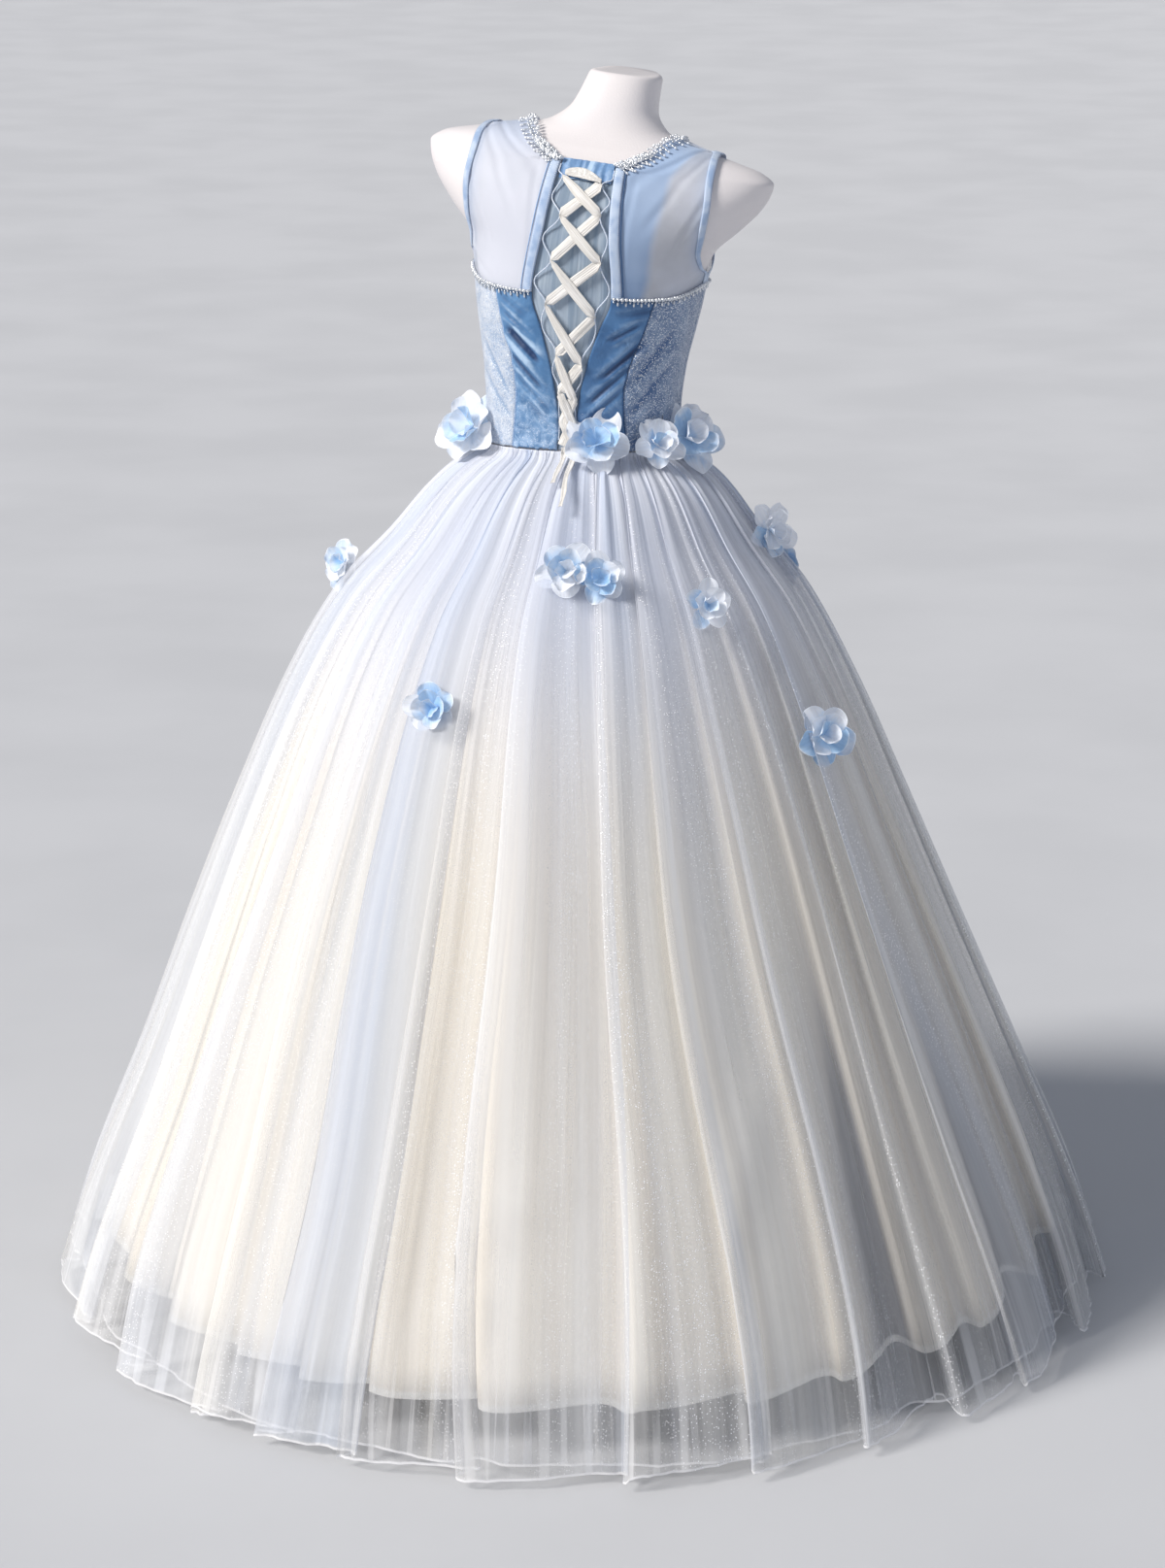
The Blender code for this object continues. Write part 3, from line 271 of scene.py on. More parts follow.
# The outer tulle's overlapping folds: angle of each crest from the centre back, and share of the depth
Fold = namedtuple("Fold", "turn share")
FOLDS = (
    Fold(-176.0, 0.9), Fold(-163.0, 1.1), Fold(-149.0, 0.8), Fold(-137.0, 1.0),
    Fold(-122.0, 1.1), Fold(-109.0, 0.8), Fold(-95.0, 1.0), Fold(-81.0, 1.0),
    Fold(-66.6, 1.1), Fold(-54.0, 0.7), Fold(-43.6, 0.9), Fold(-31.4, 1.0),
    Fold(-20.4, 0.8), Fold(-4.0, 1.1), Fold(7.0, 0.6), Fold(17.0, 1.0),
    Fold(27.0, 0.9), Fold(38.0, 1.1), Fold(52.0, 1.0), Fold(65.0, 0.8),
    Fold(79.0, 1.0), Fold(92.0, 0.9), Fold(106.0, 1.1), Fold(119.0, 0.8),
    Fold(133.0, 1.0), Fold(146.0, 0.9), Fold(158.0, 1.1), Fold(171.0, 0.8),
)

# Creases pressed into the satin by the lacing: from and to, as distance from the centre back and height
Crease = namedtuple("Crease", "x0 z0 x1 z1 width depth")
CREASES = (
    Crease(0.076, 1.176, 0.036, 1.141, 0.0070, 0.0034),
    Crease(0.084, 1.196, 0.044, 1.166, 0.0050, 0.0014),
    Crease(0.074, 1.150, 0.030, 1.108, 0.0055, 0.0020),
    Crease(0.064, 1.124, 0.022, 1.084, 0.0055, 0.0014),
    Crease(0.050, 1.096, 0.018, 1.060, 0.0060, 0.0010),
    Crease(0.090, 1.213, 0.052, 1.192, 0.0060, 0.0010),
    Crease(0.110, 1.158, 0.072, 1.100, 0.0065, 0.0015),
    Crease(0.108, 1.120, 0.068, 1.070, 0.0070, 0.0012),
    Crease(-0.085, 1.170, -0.038, 1.122, 0.0065, 0.0026),
    Crease(-0.080, 1.192, -0.046, 1.168, 0.0050, 0.0018),
    Crease(-0.070, 1.140, -0.024, 1.092, 0.0060, 0.0022),
    Crease(-0.062, 1.112, -0.020, 1.068, 0.0055, 0.0014),
    Crease(-0.094, 1.208, -0.054, 1.198, 0.0060, 0.0013),
    Crease(-0.112, 1.180, -0.074, 1.120, 0.0080, 0.0018),
    Crease(-0.110, 1.140, -0.070, 1.080, 0.0080, 0.0014),
)

# Colours drawn down the skirt: angle at the hem and at the top, half width, and amount
Drawn = namedtuple("Drawn", "hem_turn top_turn half_width amount")
BLUE_BANDS = (
    Drawn(13.0, 21.0, 3.8, 0.90),
    Drawn(-13.5, -8.0, 4.8, 0.50),
    Drawn(-30.0, -20.0, 2.2, 0.70),
    Drawn(-57.0, -52.0, 4.0, -0.80),
    Drawn(-73.0, -58.0, 3.0, 0.70),
    Drawn(4.0, 1.0, 5.0, -0.70),
    Drawn(36.0, 40.0, 3.0, 0.45),
    Drawn(60.0, 64.0, 5.0, 0.60),
    Drawn(100.0, 104.0, 6.0, 0.80),
    Drawn(150.0, 148.0, 5.0, 0.70),
    Drawn(-100.0, -104.0, 6.0, 0.80),
    Drawn(-150.0, -146.0, 5.0, 0.70),
)

# Where the glitter lies thickest, given the same way
GLITTER_BANDS = (
    Drawn(-24.0, -14.0, 2.4, 1.0),
    Drawn(-14.0, -12.0, 0.9, 0.8),
    Drawn(-38.0, -30.0, 1.4, 0.9),
    Drawn(-54.0, -46.0, 1.2, 0.8),
    Drawn(-73.0, -60.0, 2.0, 1.0),
    Drawn(38.0, 30.0, 1.6, 0.7),
    Drawn(55.0, 44.0, 3.0, 0.9),
    Drawn(2.0, 6.0, 1.0, 0.6),
    Drawn(85.0, 80.0, 2.0, 0.8),
    Drawn(112.0, 108.0, 1.5, 0.8),
    Drawn(138.0, 142.0, 2.0, 0.8),
    Drawn(170.0, 172.0, 2.0, 0.8),
    Drawn(-95.0, -90.0, 1.6, 0.8),
    Drawn(-121.0, -118.0, 2.2, 0.8),
    Drawn(-158.0, -154.0, 1.8, 0.8),
)

# Deep hollows between folds: angle, half width, depth and how high up they reach
# The hollows are also painted darker in the skirt's finishes: painted shade
Hollow = namedtuple("Hollow", "turn half_width depth top")
HOLLOWS = (
    Hollow(-49.0, 3.6, 0.030, 0.62),
    Hollow(-1.5, 2.2, 0.012, 0.50),
    Hollow(44.0, 2.6, 0.014, 0.45),
    Hollow(-74.0, 3.0, 0.018, 0.60),
    Hollow(98.0, 3.0, 0.018, 0.55),
    Hollow(165.0, 3.0, 0.020, 0.50),
    Hollow(-128.0, 3.0, 0.020, 0.60),
)

# A slack fold that runs aslant over the skirt, in angle and height
# Their ridges are also painted paler on the tulle: painted highlight
Slack = namedtuple("Slack", "turn0 z0 turn1 z1 width depth")
SLACK_FOLDS = (
    Slack(-8.0, 0.307, 7.0, 0.105, 0.028, -0.0075),
    Slack(-36.0, 0.420, -30.0, 0.180, 0.018, -0.0040),
    Slack(132.0, 0.330, 146.0, 0.150, 0.018, -0.0050),
)

# Uneven folds laid over the large ones: size, how close they are, how fast they change with height, seed
Ripple = namedtuple("Ripple", "size closeness change seed")
OUTER_RIPPLES = (
    Ripple(0.0075, 15.0, 1.0, 0.0),
    Ripple(0.0040, 36.0, 1.3, 5.0),
    Ripple(0.0024, 80.0, 0.7, 29.0),
)
OUTER_HEM_RIPPLE = Ripple(0.0050, 80.0, 0.0, 11.0)
UNDER_RIPPLE = Ripple(0.0055, 14.0, 1.0, 31.0)
UNDER_HEM_RIPPLE = Ripple(0.0020, 70.0, 0.0, 31.0)
LINING_RIPPLE = Ripple(0.0050, 12.0, 1.0, 57.0)
LINING_HEM_RIPPLE = Ripple(0.0014, 70.0, 0.0, 57.0)
HOLLOW_KEPT = 0.8
DEGREE_ROUND_HEM = 0.0108
FOLD_WANDER = 5.0
HEM_STEP = 0.011

# Soft pulls in the sheer yoke, as shares across from the opening and up from the bead line
Pull = namedtuple("Pull", "u0 v0 u1 v1 width depth")
PULLS = (
    Pull(0.10, 0.62, 0.75, 1.00, 0.050, 0.0012),
    Pull(0.30, 0.45, 0.90, 0.92, 0.045, 0.0010),
    Pull(0.55, 0.30, 0.98, 0.70, 0.040, 0.0009),
    Pull(0.05, 0.10, 0.20, 0.70, 0.040, 0.0007),
    Pull(0.40, 0.04, 0.95, 0.22, 0.040, 0.0006),
)


class Table:
    """Reads one column of a table smoothly, with no overshoot between its rows."""

    def __init__(self, rows, key, value):
        self.keys = [getattr(row, key) for row in rows]
        self.values = [getattr(row, value) for row in rows]
        steps = [b - a for a, b in zip(self.keys, self.keys[1:])]
        rises = [(b - a) / s for a, b, s in zip(self.values, self.values[1:], steps)]
        self.slopes = [rises[0]]
        for before, after in zip(rises, rises[1:]):
            same_way = before * after > 0
            self.slopes.append(2 * before * after / (before + after) if same_way else 0.0)
        self.slopes.append(rises[-1])

    def at(self, key):
        key = min(max(key, self.keys[0]), self.keys[-1])
        row = min(bisect_right(self.keys, key) - 1, len(self.keys) - 2)
        step = self.keys[row + 1] - self.keys[row]
        t = (key - self.keys[row]) / step
        start = (2 * t ** 3 - 3 * t ** 2 + 1) * self.values[row]
        leave = (t ** 3 - 2 * t ** 2 + t) * step * self.slopes[row]
        end = (3 * t ** 2 - 2 * t ** 3) * self.values[row + 1]
        arrive = (t ** 3 - t ** 2) * step * self.slopes[row + 1]
        return start + leave + end + arrive


form_half_width = Table(FORM_SECTIONS, "height", "half_width")
form_back = Table(FORM_SECTIONS, "height", "back_depth")
form_front = Table(FORM_SECTIONS, "height", "front_depth")
skirt_half_width = Table(SKIRT_RINGS, "height", "half_width")
skirt_back = Table(SKIRT_RINGS, "height", "back_depth")
skirt_front = Table(SKIRT_RINGS, "height", "front_depth")
skirt_aside = Table(SKIRT_RINGS, "height", "aside")
opening_width = Table(OPENING, "height", "half_width")
back_princess = Table(BACK_PRINCESS, "height", "distance")
front_princess = Table(FRONT_PRINCESS, "height", "distance")
bead_line = Table(BEAD_LINE, "turn", "height")


# Shape: the form's surface and the ways to lie on it
def from_back(turn):
    """An angle's distance from the centre back, on either side."""
    turn = abs(turn) % 360.0
    return min(turn, 360.0 - turn)


def mix(a, b, share):
    return a + (b - a) * share


def ease(low, high, value):
    share = min(max((value - low) / (high - low), 0.0), 1.0)
    return share * share * (3 - 2 * share)


def along(points, share):
    """A smooth curve through rough points, read at a share of its way."""
    place = min(max(share, 0.0), 1.0) * (len(points) - 1)
    index = min(int(place), len(points) - 2)
    t = place - index
    before = Vector(points[max(index - 1, 0)])
    start = Vector(points[index])
    end = Vector(points[index + 1])
    after = Vector(points[min(index + 2, len(points) - 1)])
    leave = (end - before) * 0.5
    arrive = (after - start) * 0.5
    return (
        start * (2 * t ** 3 - 3 * t ** 2 + 1)
        + leave * (t ** 3 - 2 * t ** 2 + t)
        + end * (3 * t ** 2 - 2 * t ** 3)
        + arrive * (t ** 3 - t ** 2)
    )


def neck_centre(height):
    share = max(0.0, height - NECK_START) / (NECK_TOP - NECK_START)
    return Vector((-NECK_ASIDE * share, -NECK_FORWARD * share, height))


def level(point):
    """Below zero inside the form, above zero outside it."""
    centre = neck_centre(point.z)
    depth = form_back if point.y > centre.y else form_front
    across = abs(point.x - centre.x) / form_half_width.at(point.z)
    through = abs(point.y - centre.y) / depth.at(point.z)
    return across ** SECTION_POWER + through ** SECTION_POWER - 1.0


def slope(point):
    step = 0.0005
    parts = []
    for axis in range(3):
        shift = Vector((0.0, 0.0, 0.0))
        shift[axis] = step
        parts.append((level(point + shift) - level(point - shift)) / (2 * step))
    return Vector(parts)


def settled(rough, lift):
    """The place on the form nearest to a rough one, moved off the surface by the lift."""
    point = Vector(rough)
    for _ in range(6):
        gradient = slope(point)
        point = point - gradient * (level(point) / max(gradient.length_squared, 1e-9))
    return point + slope(point).normalized() * lift


def round_form(height, turn, lift):
    """A place on the form by its height and its angle round from the centre back."""
    angle = math.radians(turn)
    power = 2.0 / SECTION_POWER
    across = math.copysign(abs(math.sin(angle)) ** power, math.sin(angle))
    through = math.copysign(abs(math.cos(angle)) ** power, math.cos(angle))
    depth = form_back if through > 0 else form_front
    centre = neck_centre(height)
    x = centre.x + across * form_half_width.at(height)
    y = centre.y + through * depth.at(height)
    point = Vector((x, y, height))
    if lift == 0.0:
        return point
    return point + slope(point).normalized() * lift


def turn_for(distance, height):
    """The angle at which the form's back is this far from the centre."""
    share = distance / form_half_width.at(height)
    turn = math.degrees(math.asin(min(abs(share), 1.0) ** (SECTION_POWER / 2.0)))
    return math.copysign(turn, distance)


def posed(point):
    """Bends a place above the waist into the form's leaning pose."""
    rise = max(0.0, point.z - BEND_START)
    span = BEND_END - BEND_START
    held = min(rise, span)
    angle = BEND_ANGLE * held / span
    shift = BEND_ANGLE * held * held / (2 * span) + math.tan(BEND_ANGLE) * (rise - held)
    x = point.x * math.cos(angle) - shift
    return Vector((x, point.y, point.z + point.x * math.sin(angle)))


def on_back(x, height, lift):
    """A place on the back at this distance from the centre."""
    return settled((x, form_back.at(height), height), lift)


def outward(turn):
    angle = math.radians(turn)
    return Vector((math.sin(angle), math.cos(angle), 0.0))


def trough(across, along_it, line):
    """A soft crease along a line: a hollow with a low ridge on either side."""
    x0, y0, x1, y1, width, depth = line
    run = Vector((x1 - x0, y1 - y0))
    offset = Vector((across - x0, along_it - y0))
    share = offset.dot(run) / run.length_squared
    fade = ease(-0.15, 0.25, share) * ease(1.15, 0.80, share)
    if fade == 0.0:
        return 0.0
    away = abs(offset.x * run.y - offset.y * run.x) / run.length / width
    return depth * fade * (2.0 * away * away - 1.0) * math.exp(-away * away)


# Finishes: the short ways to add nodes
def colour(text):
    """A colour written as six hex digits, in linear light."""
    light = []
    for index in (0, 2, 4):
        part = int(text[index:index + 2], 16) / 255.0
        light.append(((part + 0.055) / 1.055) ** 2.4 if part > 0.04 else part / 12.92)
    return (*light, 1.0)


def add(tree, kind, values=None, **settings):
    """A shader node with its settings, its values and what feeds it."""
    node = tree.nodes.new("ShaderNode" + kind)
    for name, setting in settings.items():
        setattr(node, name, setting)
    for name, value in (values or {}).items():
        if isinstance(value, bpy.types.NodeSocket):
            tree.links.new(value, node.inputs[name])
        else:
            node.inputs[name].default_value = value
    return node


def reckon(tree, operation, first, second=0.0, third=0.0):
    return add(tree, "Math", {0: first, 1: second, 2: third}, operation=operation).outputs[0]


def band(tree, value, low, high):
    """Zero below one value, one above another, and soft between them."""
    node = add(tree, "MapRange", {"Value": value, "From Min": low, "From Max": high})
    node.interpolation_type = "SMOOTHSTEP"
    return node.outputs[0]


def blend(tree, share, first, second):
    """Two colours or sockets mixed by a share."""
    node = add(tree, "Mix", {0: share, 6: first, 7: second}, data_type="RGBA")
    return node.outputs[2]


def group_tree(name, inputs, outputs):
    tree = bpy.data.node_groups.new(name, "ShaderNodeTree")
    for socket, value in inputs.items():
        made = tree.interface.new_socket(name=socket, in_out="INPUT", socket_type="NodeSocketFloat")
        made.default_value = value
    for socket in outputs:
        tree.interface.new_socket(name=socket, in_out="OUTPUT", socket_type="NodeSocketFloat")
    return tree, tree.nodes.new("NodeGroupInput"), tree.nodes.new("NodeGroupOutput")


def make_drawn_threads():
    """Fine streaks along the cloth, as where net is drawn up into tiny folds."""
    inputs = {"Count": 300.0, "Reach": 2.0, "Seed": 0.0}
    tree, given, result = group_tree("drawn_threads", inputs, ["Streak"])
    share = add(tree, "UVMap", uv_map="share").outputs[0]
    parts = add(tree, "SeparateXYZ", {0: share})
    across = reckon(tree, "MULTIPLY", parts.outputs[0], given.outputs["Count"])
    down = reckon(tree, "MULTIPLY", parts.outputs[1], given.outputs["Reach"])
    place = add(tree, "CombineXYZ", {0: across, 1: down, 2: given.outputs["Seed"]}).outputs[0]
    streak = add(tree, "TexNoise", {"Vector": place, "Scale": 1.0, "Detail": 2.0, "Roughness": 0.6})
    tree.links.new(band(tree, streak.outputs[0], 0.36, 0.66), result.inputs["Streak"])
    return tree


def make_glitter_specks():
    """Tiny bright dots scattered on the cloth."""
    inputs = {"Scale": 300.0, "Share": 0.2, "Size": 0.3}
    tree, given, result = group_tree("glitter_specks", inputs, ["Speck"])
    place = add(tree, "TexCoord").outputs["Object"]
    cells = add(tree, "TexVoronoi", {"Vector": place, "Scale": given.outputs["Scale"]})
    near = reckon(tree, "LESS_THAN", cells.outputs["Distance"], given.outputs["Size"])
    lot = add(tree, "SeparateColor", {0: cells.outputs["Color"]}).outputs[0]
    drawn = reckon(tree, "LESS_THAN", lot, given.outputs["Share"])
    tree.links.new(reckon(tree, "MULTIPLY", near, drawn), result.inputs["Speck"])
    return tree


def make_woven_threads():
    """The crossing threads of a plain weave, by the cloth's own measure."""
    tree, given, result = group_tree("woven_threads", {"Threads": 1500.0, "Cross": 1500.0}, ["Height"])
    place = add(tree, "UVMap", uv_map="cloth").outputs[0]
    parts = add(tree, "SeparateXYZ", {0: place})
    waves = []
    for index, name in enumerate(("Threads", "Cross")):
        turn = reckon(tree, "MULTIPLY", given.outputs[name], 2 * math.pi)
        waves.append(reckon(tree, "SINE", reckon(tree, "MULTIPLY", parts.outputs[index], turn)))
    crossed = reckon(tree, "MULTIPLY", waves[0], waves[1])
    tree.links.new(reckon(tree, "MULTIPLY_ADD", crossed, 0.5, 0.5), result.inputs["Height"])
    return tree


def make_uneven():
    """Slow changes over the surface, for shade, sheen and soft dents."""
    tree, given, result = group_tree("uneven", {"Scale": 20.0, "Detail": 3.0, "Twist": 0.0}, ["Amount"])
    place = add(tree, "TexCoord").outputs["Object"]
    values = {"Vector": place, "Scale": given.outputs["Scale"], "Detail": given.outputs["Detail"]}
    values["Distortion"] = given.outputs["Twist"]
    cloud = add(tree, "TexNoise", values)
    tree.links.new(band(tree, cloud.outputs[0], 0.3, 0.7), result.inputs["Amount"])
    return tree


drawn_threads = make_drawn_threads()
glitter_specks = make_glitter_specks()
woven_threads = make_woven_threads()
uneven = make_uneven()


class Finish:
    """A material, with its main shader and the ways to feed it."""

    def __init__(self, name, **values):
        self.material = bpy.data.materials.new(name)
        self.material.use_nodes = True
        self.tree = self.material.node_tree
        self.shader = self.tree.nodes["Principled BSDF"]
        for socket, value in values.items():
            self.shader.inputs[socket.replace("_", " ")].default_value = value

    def use(self, group, output, **values):
        node = add(self.tree, "Group", node_tree=group)
        for name, value in values.items():
            if isinstance(value, bpy.types.NodeSocket):
                self.tree.links.new(value, node.inputs[name])
            else:
                node.inputs[name].default_value = value
        return node.outputs[output]

    def marked(self, name):
        """The two amounts that one of the piece's maps holds at each place."""
        place = add(self.tree, "UVMap", uv_map=name).outputs[0]
        return add(self.tree, "SeparateXYZ", {0: place}).outputs

    def share(self):
        """How far across and how far up the piece a place is, each from zero to one."""
        return self.marked("share")

    def feed(self, socket, value):
        self.tree.links.new(value, self.shader.inputs[socket])

    def roughen(self, amount, low, high):
        """Roughness between two values, by an amount from zero to one."""
        self.feed("Roughness", add(self.tree, "MapRange", {0: amount, 3: low, 4: high}).outputs[0])

    def dent(self, height, distance, strength=1.0, under=None):
        """A bump of this height in metres, over the one made before it."""
        values = {"Height": height, "Distance": distance, "Strength": strength}
        if under is not None:
            values["Normal"] = under
        bump = add(self.tree, "Bump", values).outputs[0]
        self.feed("Normal", bump)
        return bump


def make_form_finish():
    finish = Finish("form_white", Coat_Weight=0.12, Coat_Roughness=0.35, Specular_IOR_Level=0.4)
    tree = finish.tree
    shade = finish.use(uneven, "Amount", Scale=9.0, Detail=4.0)
    finish.feed("Base Color", blend(tree, shade, colour("e9e4e4"), colour("e3dfe1")))
    finish.roughen(shade, 0.42, 0.55)
    grain = finish.use(uneven, "Amount", Scale=420.0, Detail=2.0)
    finish.dent(grain, 0.00006)
    return finish.material


def make_stand_finish():
    finish = Finish("base_metal", Metallic=1.0)
    tree = finish.tree
    shade = finish.use(uneven, "Amount", Scale=30.0, Detail=5.0, Twist=1.5)
    finish.feed("Base Color", blend(tree, shade, colour("b9bbbd"), colour("d0d1d3")))
    finish.roughen(shade, 0.28, 0.42)
    scratches = finish.use(uneven, "Amount", Scale=700.0, Detail=1.0)
    finish.dent(scratches, 0.00003)
    return finish.material


def make_satin_finish(name, dark, pale, painted_highlight, low_painted_highlight):
    """Blue satin: close threads, a painted highlight where it stands proud, painted shade in its
    creases, and painted sheen with bright specks low down.
    """
    finish = Finish(name, Sheen_Weight=0.25, Sheen_Roughness=0.35, Anisotropic=0.35)
    finish.shader.inputs["Specular IOR Level"].default_value = 0.6
    tree = finish.tree
    painted_light = finish.marked("painted_light")
    shade = finish.use(uneven, "Amount", Scale=26.0, Detail=3.0, Twist=0.8)
    cast = finish.use(uneven, "Amount", Scale=75.0, Detail=5.0, Twist=1.4)
    base = blend(tree, shade, colour(dark), colour(pale))
    # Painted highlight on the creases' ridges, and painted shade deep in their troughs
    raised = reckon(tree, "MULTIPLY_ADD", cast, 0.12, reckon(tree, "SUBTRACT", painted_light[0], 0.06))
    base = blend(tree, band(tree, raised, 0.50, 0.95), base, colour(painted_highlight))
    base = blend(tree, band(tree, painted_light[0], 0.46, -0.1), base, colour("1c3a66"))
    # Painted sheen low on the panel: paler, with bright specks, by the amount given
    sparkle = finish.use(glitter_specks, "Speck", Scale=700.0, Share=0.35, Size=0.4)
    low = reckon(tree, "MULTIPLY", painted_light[1], reckon(tree, "MULTIPLY_ADD", cast, 0.9, 0.1))
    low = reckon(tree, "MULTIPLY", low, low_painted_highlight)
    low_sheen = blend(tree, low, base, colour("b4cfee"))
    low_sheen = blend(tree, reckon(tree, "MULTIPLY", low, sparkle), low_sheen, colour("eef5fd"))
    finish.feed("Base Color", low_sheen)
    finish.roughen(cast, 0.34, 0.5)
    soft = finish.dent(finish.use(uneven, "Amount", Scale=55.0, Detail=3.0, Twist=0.6), 0.0007, 0.7)
    finish.dent(finish.use(woven_threads, "Height", Threads=1400.0, Cross=900.0), 0.00008, 0.8, soft)
    return finish.material


def make_velvet_finish(name, dark, pale):
    """Crushed velvet with silver glitter, brighter where the pile lies flat, and with painted shade in
    its creases.
    """
    finish = Finish(name, Sheen_Weight=0.6, Sheen_Roughness=0.45)
    tree = finish.tree
    painted_light = finish.marked("painted_light")
    crush = finish.use(uneven, "Amount", Scale=30.0, Detail=6.0, Twist=1.2)
    fine = finish.use(uneven, "Amount", Scale=420.0, Detail=5.0, Twist=1.0)
    flat = reckon(tree, "MULTIPLY_ADD", crush, 0.45, reckon(tree, "MULTIPLY", fine, 0.55))
    base = blend(tree, flat, colour(dark), colour(pale))
    # Painted shade in the creases' troughs
    base = blend(tree, band(tree, painted_light[0], 0.50, 0.10), base, colour(dark))
    speck = finish.use(glitter_specks, "Speck", Scale=760.0, Share=0.36, Size=0.42)
    finish.feed("Base Color", blend(tree, speck, base, colour("f4f7fb")))
    finish.feed("Metallic", reckon(tree, "MULTIPLY", speck, 0.6))
    finish.feed("Roughness", reckon(tree, "MULTIPLY_ADD", speck, -0.32, 0.6))
    soft = finish.dent(crush, 0.0012, 0.8)
    finish.dent(fine, 0.0004, 0.8, soft)
    return finish.material


def make_yoke_finish(name, doubled_to, slant, soft_edge, pale, deep):
    """Sheer net over the white form: doubled and bluer up to a slanting edge, and blue at its rims."""
    finish = Finish(name, Roughness=0.62, Sheen_Weight=0.2)
    tree = finish.tree
    across, up, _ = finish.share()
    cloud = finish.use(uneven, "Amount", Scale=16.0, Detail=3.0)
    edge = reckon(tree, "MULTIPLY_ADD", up, -slant, across)
    edge = reckon(tree, "MULTIPLY_ADD", cloud, 0.02, edge)
    doubled = band(tree, edge, doubled_to + soft_edge, doubled_to)
    rim = reckon(tree, "MAXIMUM", band(tree, across, 0.72, 1.0), band(tree, up, 0.70, 1.0))
    light = blend(tree, cloud, colour(pale), colour("dbe3f2"))
    light = blend(tree, reckon(tree, "MULTIPLY", rim, 0.55), light, colour("b9cdec"))
    low = blend(tree, band(tree, up, 0.0, 0.9), colour(deep), colour("b4cae8"))
    base = blend(tree, doubled, light, blend(tree, cloud, low, colour("a6bedf")))
    finish.feed("Base Color", base)
    net = finish.use(woven_threads, "Height", Threads=700.0, Cross=700.0)
    thick = reckon(tree, "MULTIPLY_ADD", doubled, 0.26, reckon(tree, "MULTIPLY_ADD", rim, 0.16, 0.50))
    finish.feed("Alpha", reckon(tree, "MULTIPLY_ADD", net, 0.12, thick))
    finish.dent(net, 0.00012, 0.6)
    return finish.material


def make_tape_finish(name, dark, pale):
    """Narrow satin tape: fine cross ribs and a row of stitches near each edge."""
    finish = Finish(name, Sheen_Weight=0.2, Roughness=0.42)
    tree = finish.tree
    across = finish.share()[0]
    shade = finish.use(uneven, "Amount", Scale=70.0, Detail=3.0)
    base = blend(tree, shade, colour(dark), colour(pale))
    ribs = finish.use(woven_threads, "Height", Threads=2200.0, Cross=1300.0)
    edge = reckon(tree, "ABSOLUTE", reckon(tree, "SUBTRACT", across, 0.5))
    row = reckon(tree, "COMPARE", edge, 0.36, 0.03)
    count = reckon(tree, "MULTIPLY", finish.marked("cloth")[1], 420.0)
    dash = reckon(tree, "LESS_THAN", reckon(tree, "FRACT", count), 0.62)
    stitch = reckon(tree, "MULTIPLY", row, dash)
    base = blend(tree, reckon(tree, "MULTIPLY", row, 0.45), base, colour("5f86b8"))
    base = blend(tree, stitch, base, colour("e4eefb"))
    ribs = reckon(tree, "MULTIPLY_ADD", stitch, 2.0, ribs)
    finish.feed("Base Color", base)
    finish.dent(ribs, 0.00012, 0.7)
    return finish.material


def make_modesty_finish():
    finish = Finish("modesty_net", Roughness=0.6, Sheen_Weight=0.2)
    tree = finish.tree
    streak = finish.use(drawn_threads, "Streak", Count=11.0, Reach=1.6, Seed=3.0)
    cloud = finish.use(uneven, "Amount", Scale=40.0, Detail=3.0)
    base = blend(tree, streak, colour("8b9fb3"), colour("b9c8d6"))
    finish.feed("Base Color", blend(tree, reckon(tree, "MULTIPLY", cloud, 0.30), base, colour("8299b8")))
    net = finish.use(woven_threads, "Height", Threads=900.0, Cross=900.0)
    finish.feed("Alpha", reckon(tree, "MULTIPLY_ADD", net, 0.14, 0.80))
    finish.dent(streak, 0.0006, 0.6)
    return finish.material


def make_ribbon_finish():
    finish = Finish("ivory_ribbon", Sheen_Weight=0.15, Specular_IOR_Level=0.55, Anisotropic=0.3)
    tree = finish.tree
    across = finish.share()[0]
    crease = finish.use(drawn_threads, "Streak", Count=7.0, Reach=9.0, Seed=1.0)
    shade = finish.use(uneven, "Amount", Scale=60.0, Detail=3.0)
    # Darker in the creases' hollows and paler on their ridges: painted shade and highlight over the
    # crease bump
    base = blend(tree, crease, colour("e4e0d9"), colour("fdfbf8"))
    base = blend(tree, reckon(tree, "MULTIPLY", shade, 0.15), base, colour("dcd7cf"))
    edge = band(tree, reckon(tree, "ABSOLUTE", reckon(tree, "SUBTRACT", across, 0.5)), 0.42, 0.47)
    finish.feed("Base Color", blend(tree, reckon(tree, "MULTIPLY", edge, 0.5), base, colour("fffaf0")))
    finish.roughen(crease, 0.5, 0.34)
    soft = finish.dent(crease, 0.0006, 0.8)
    finish.dent(finish.use(woven_threads, "Height", Threads=1800.0, Cross=1200.0), 0.00008, 0.7, soft)
    return finish.material


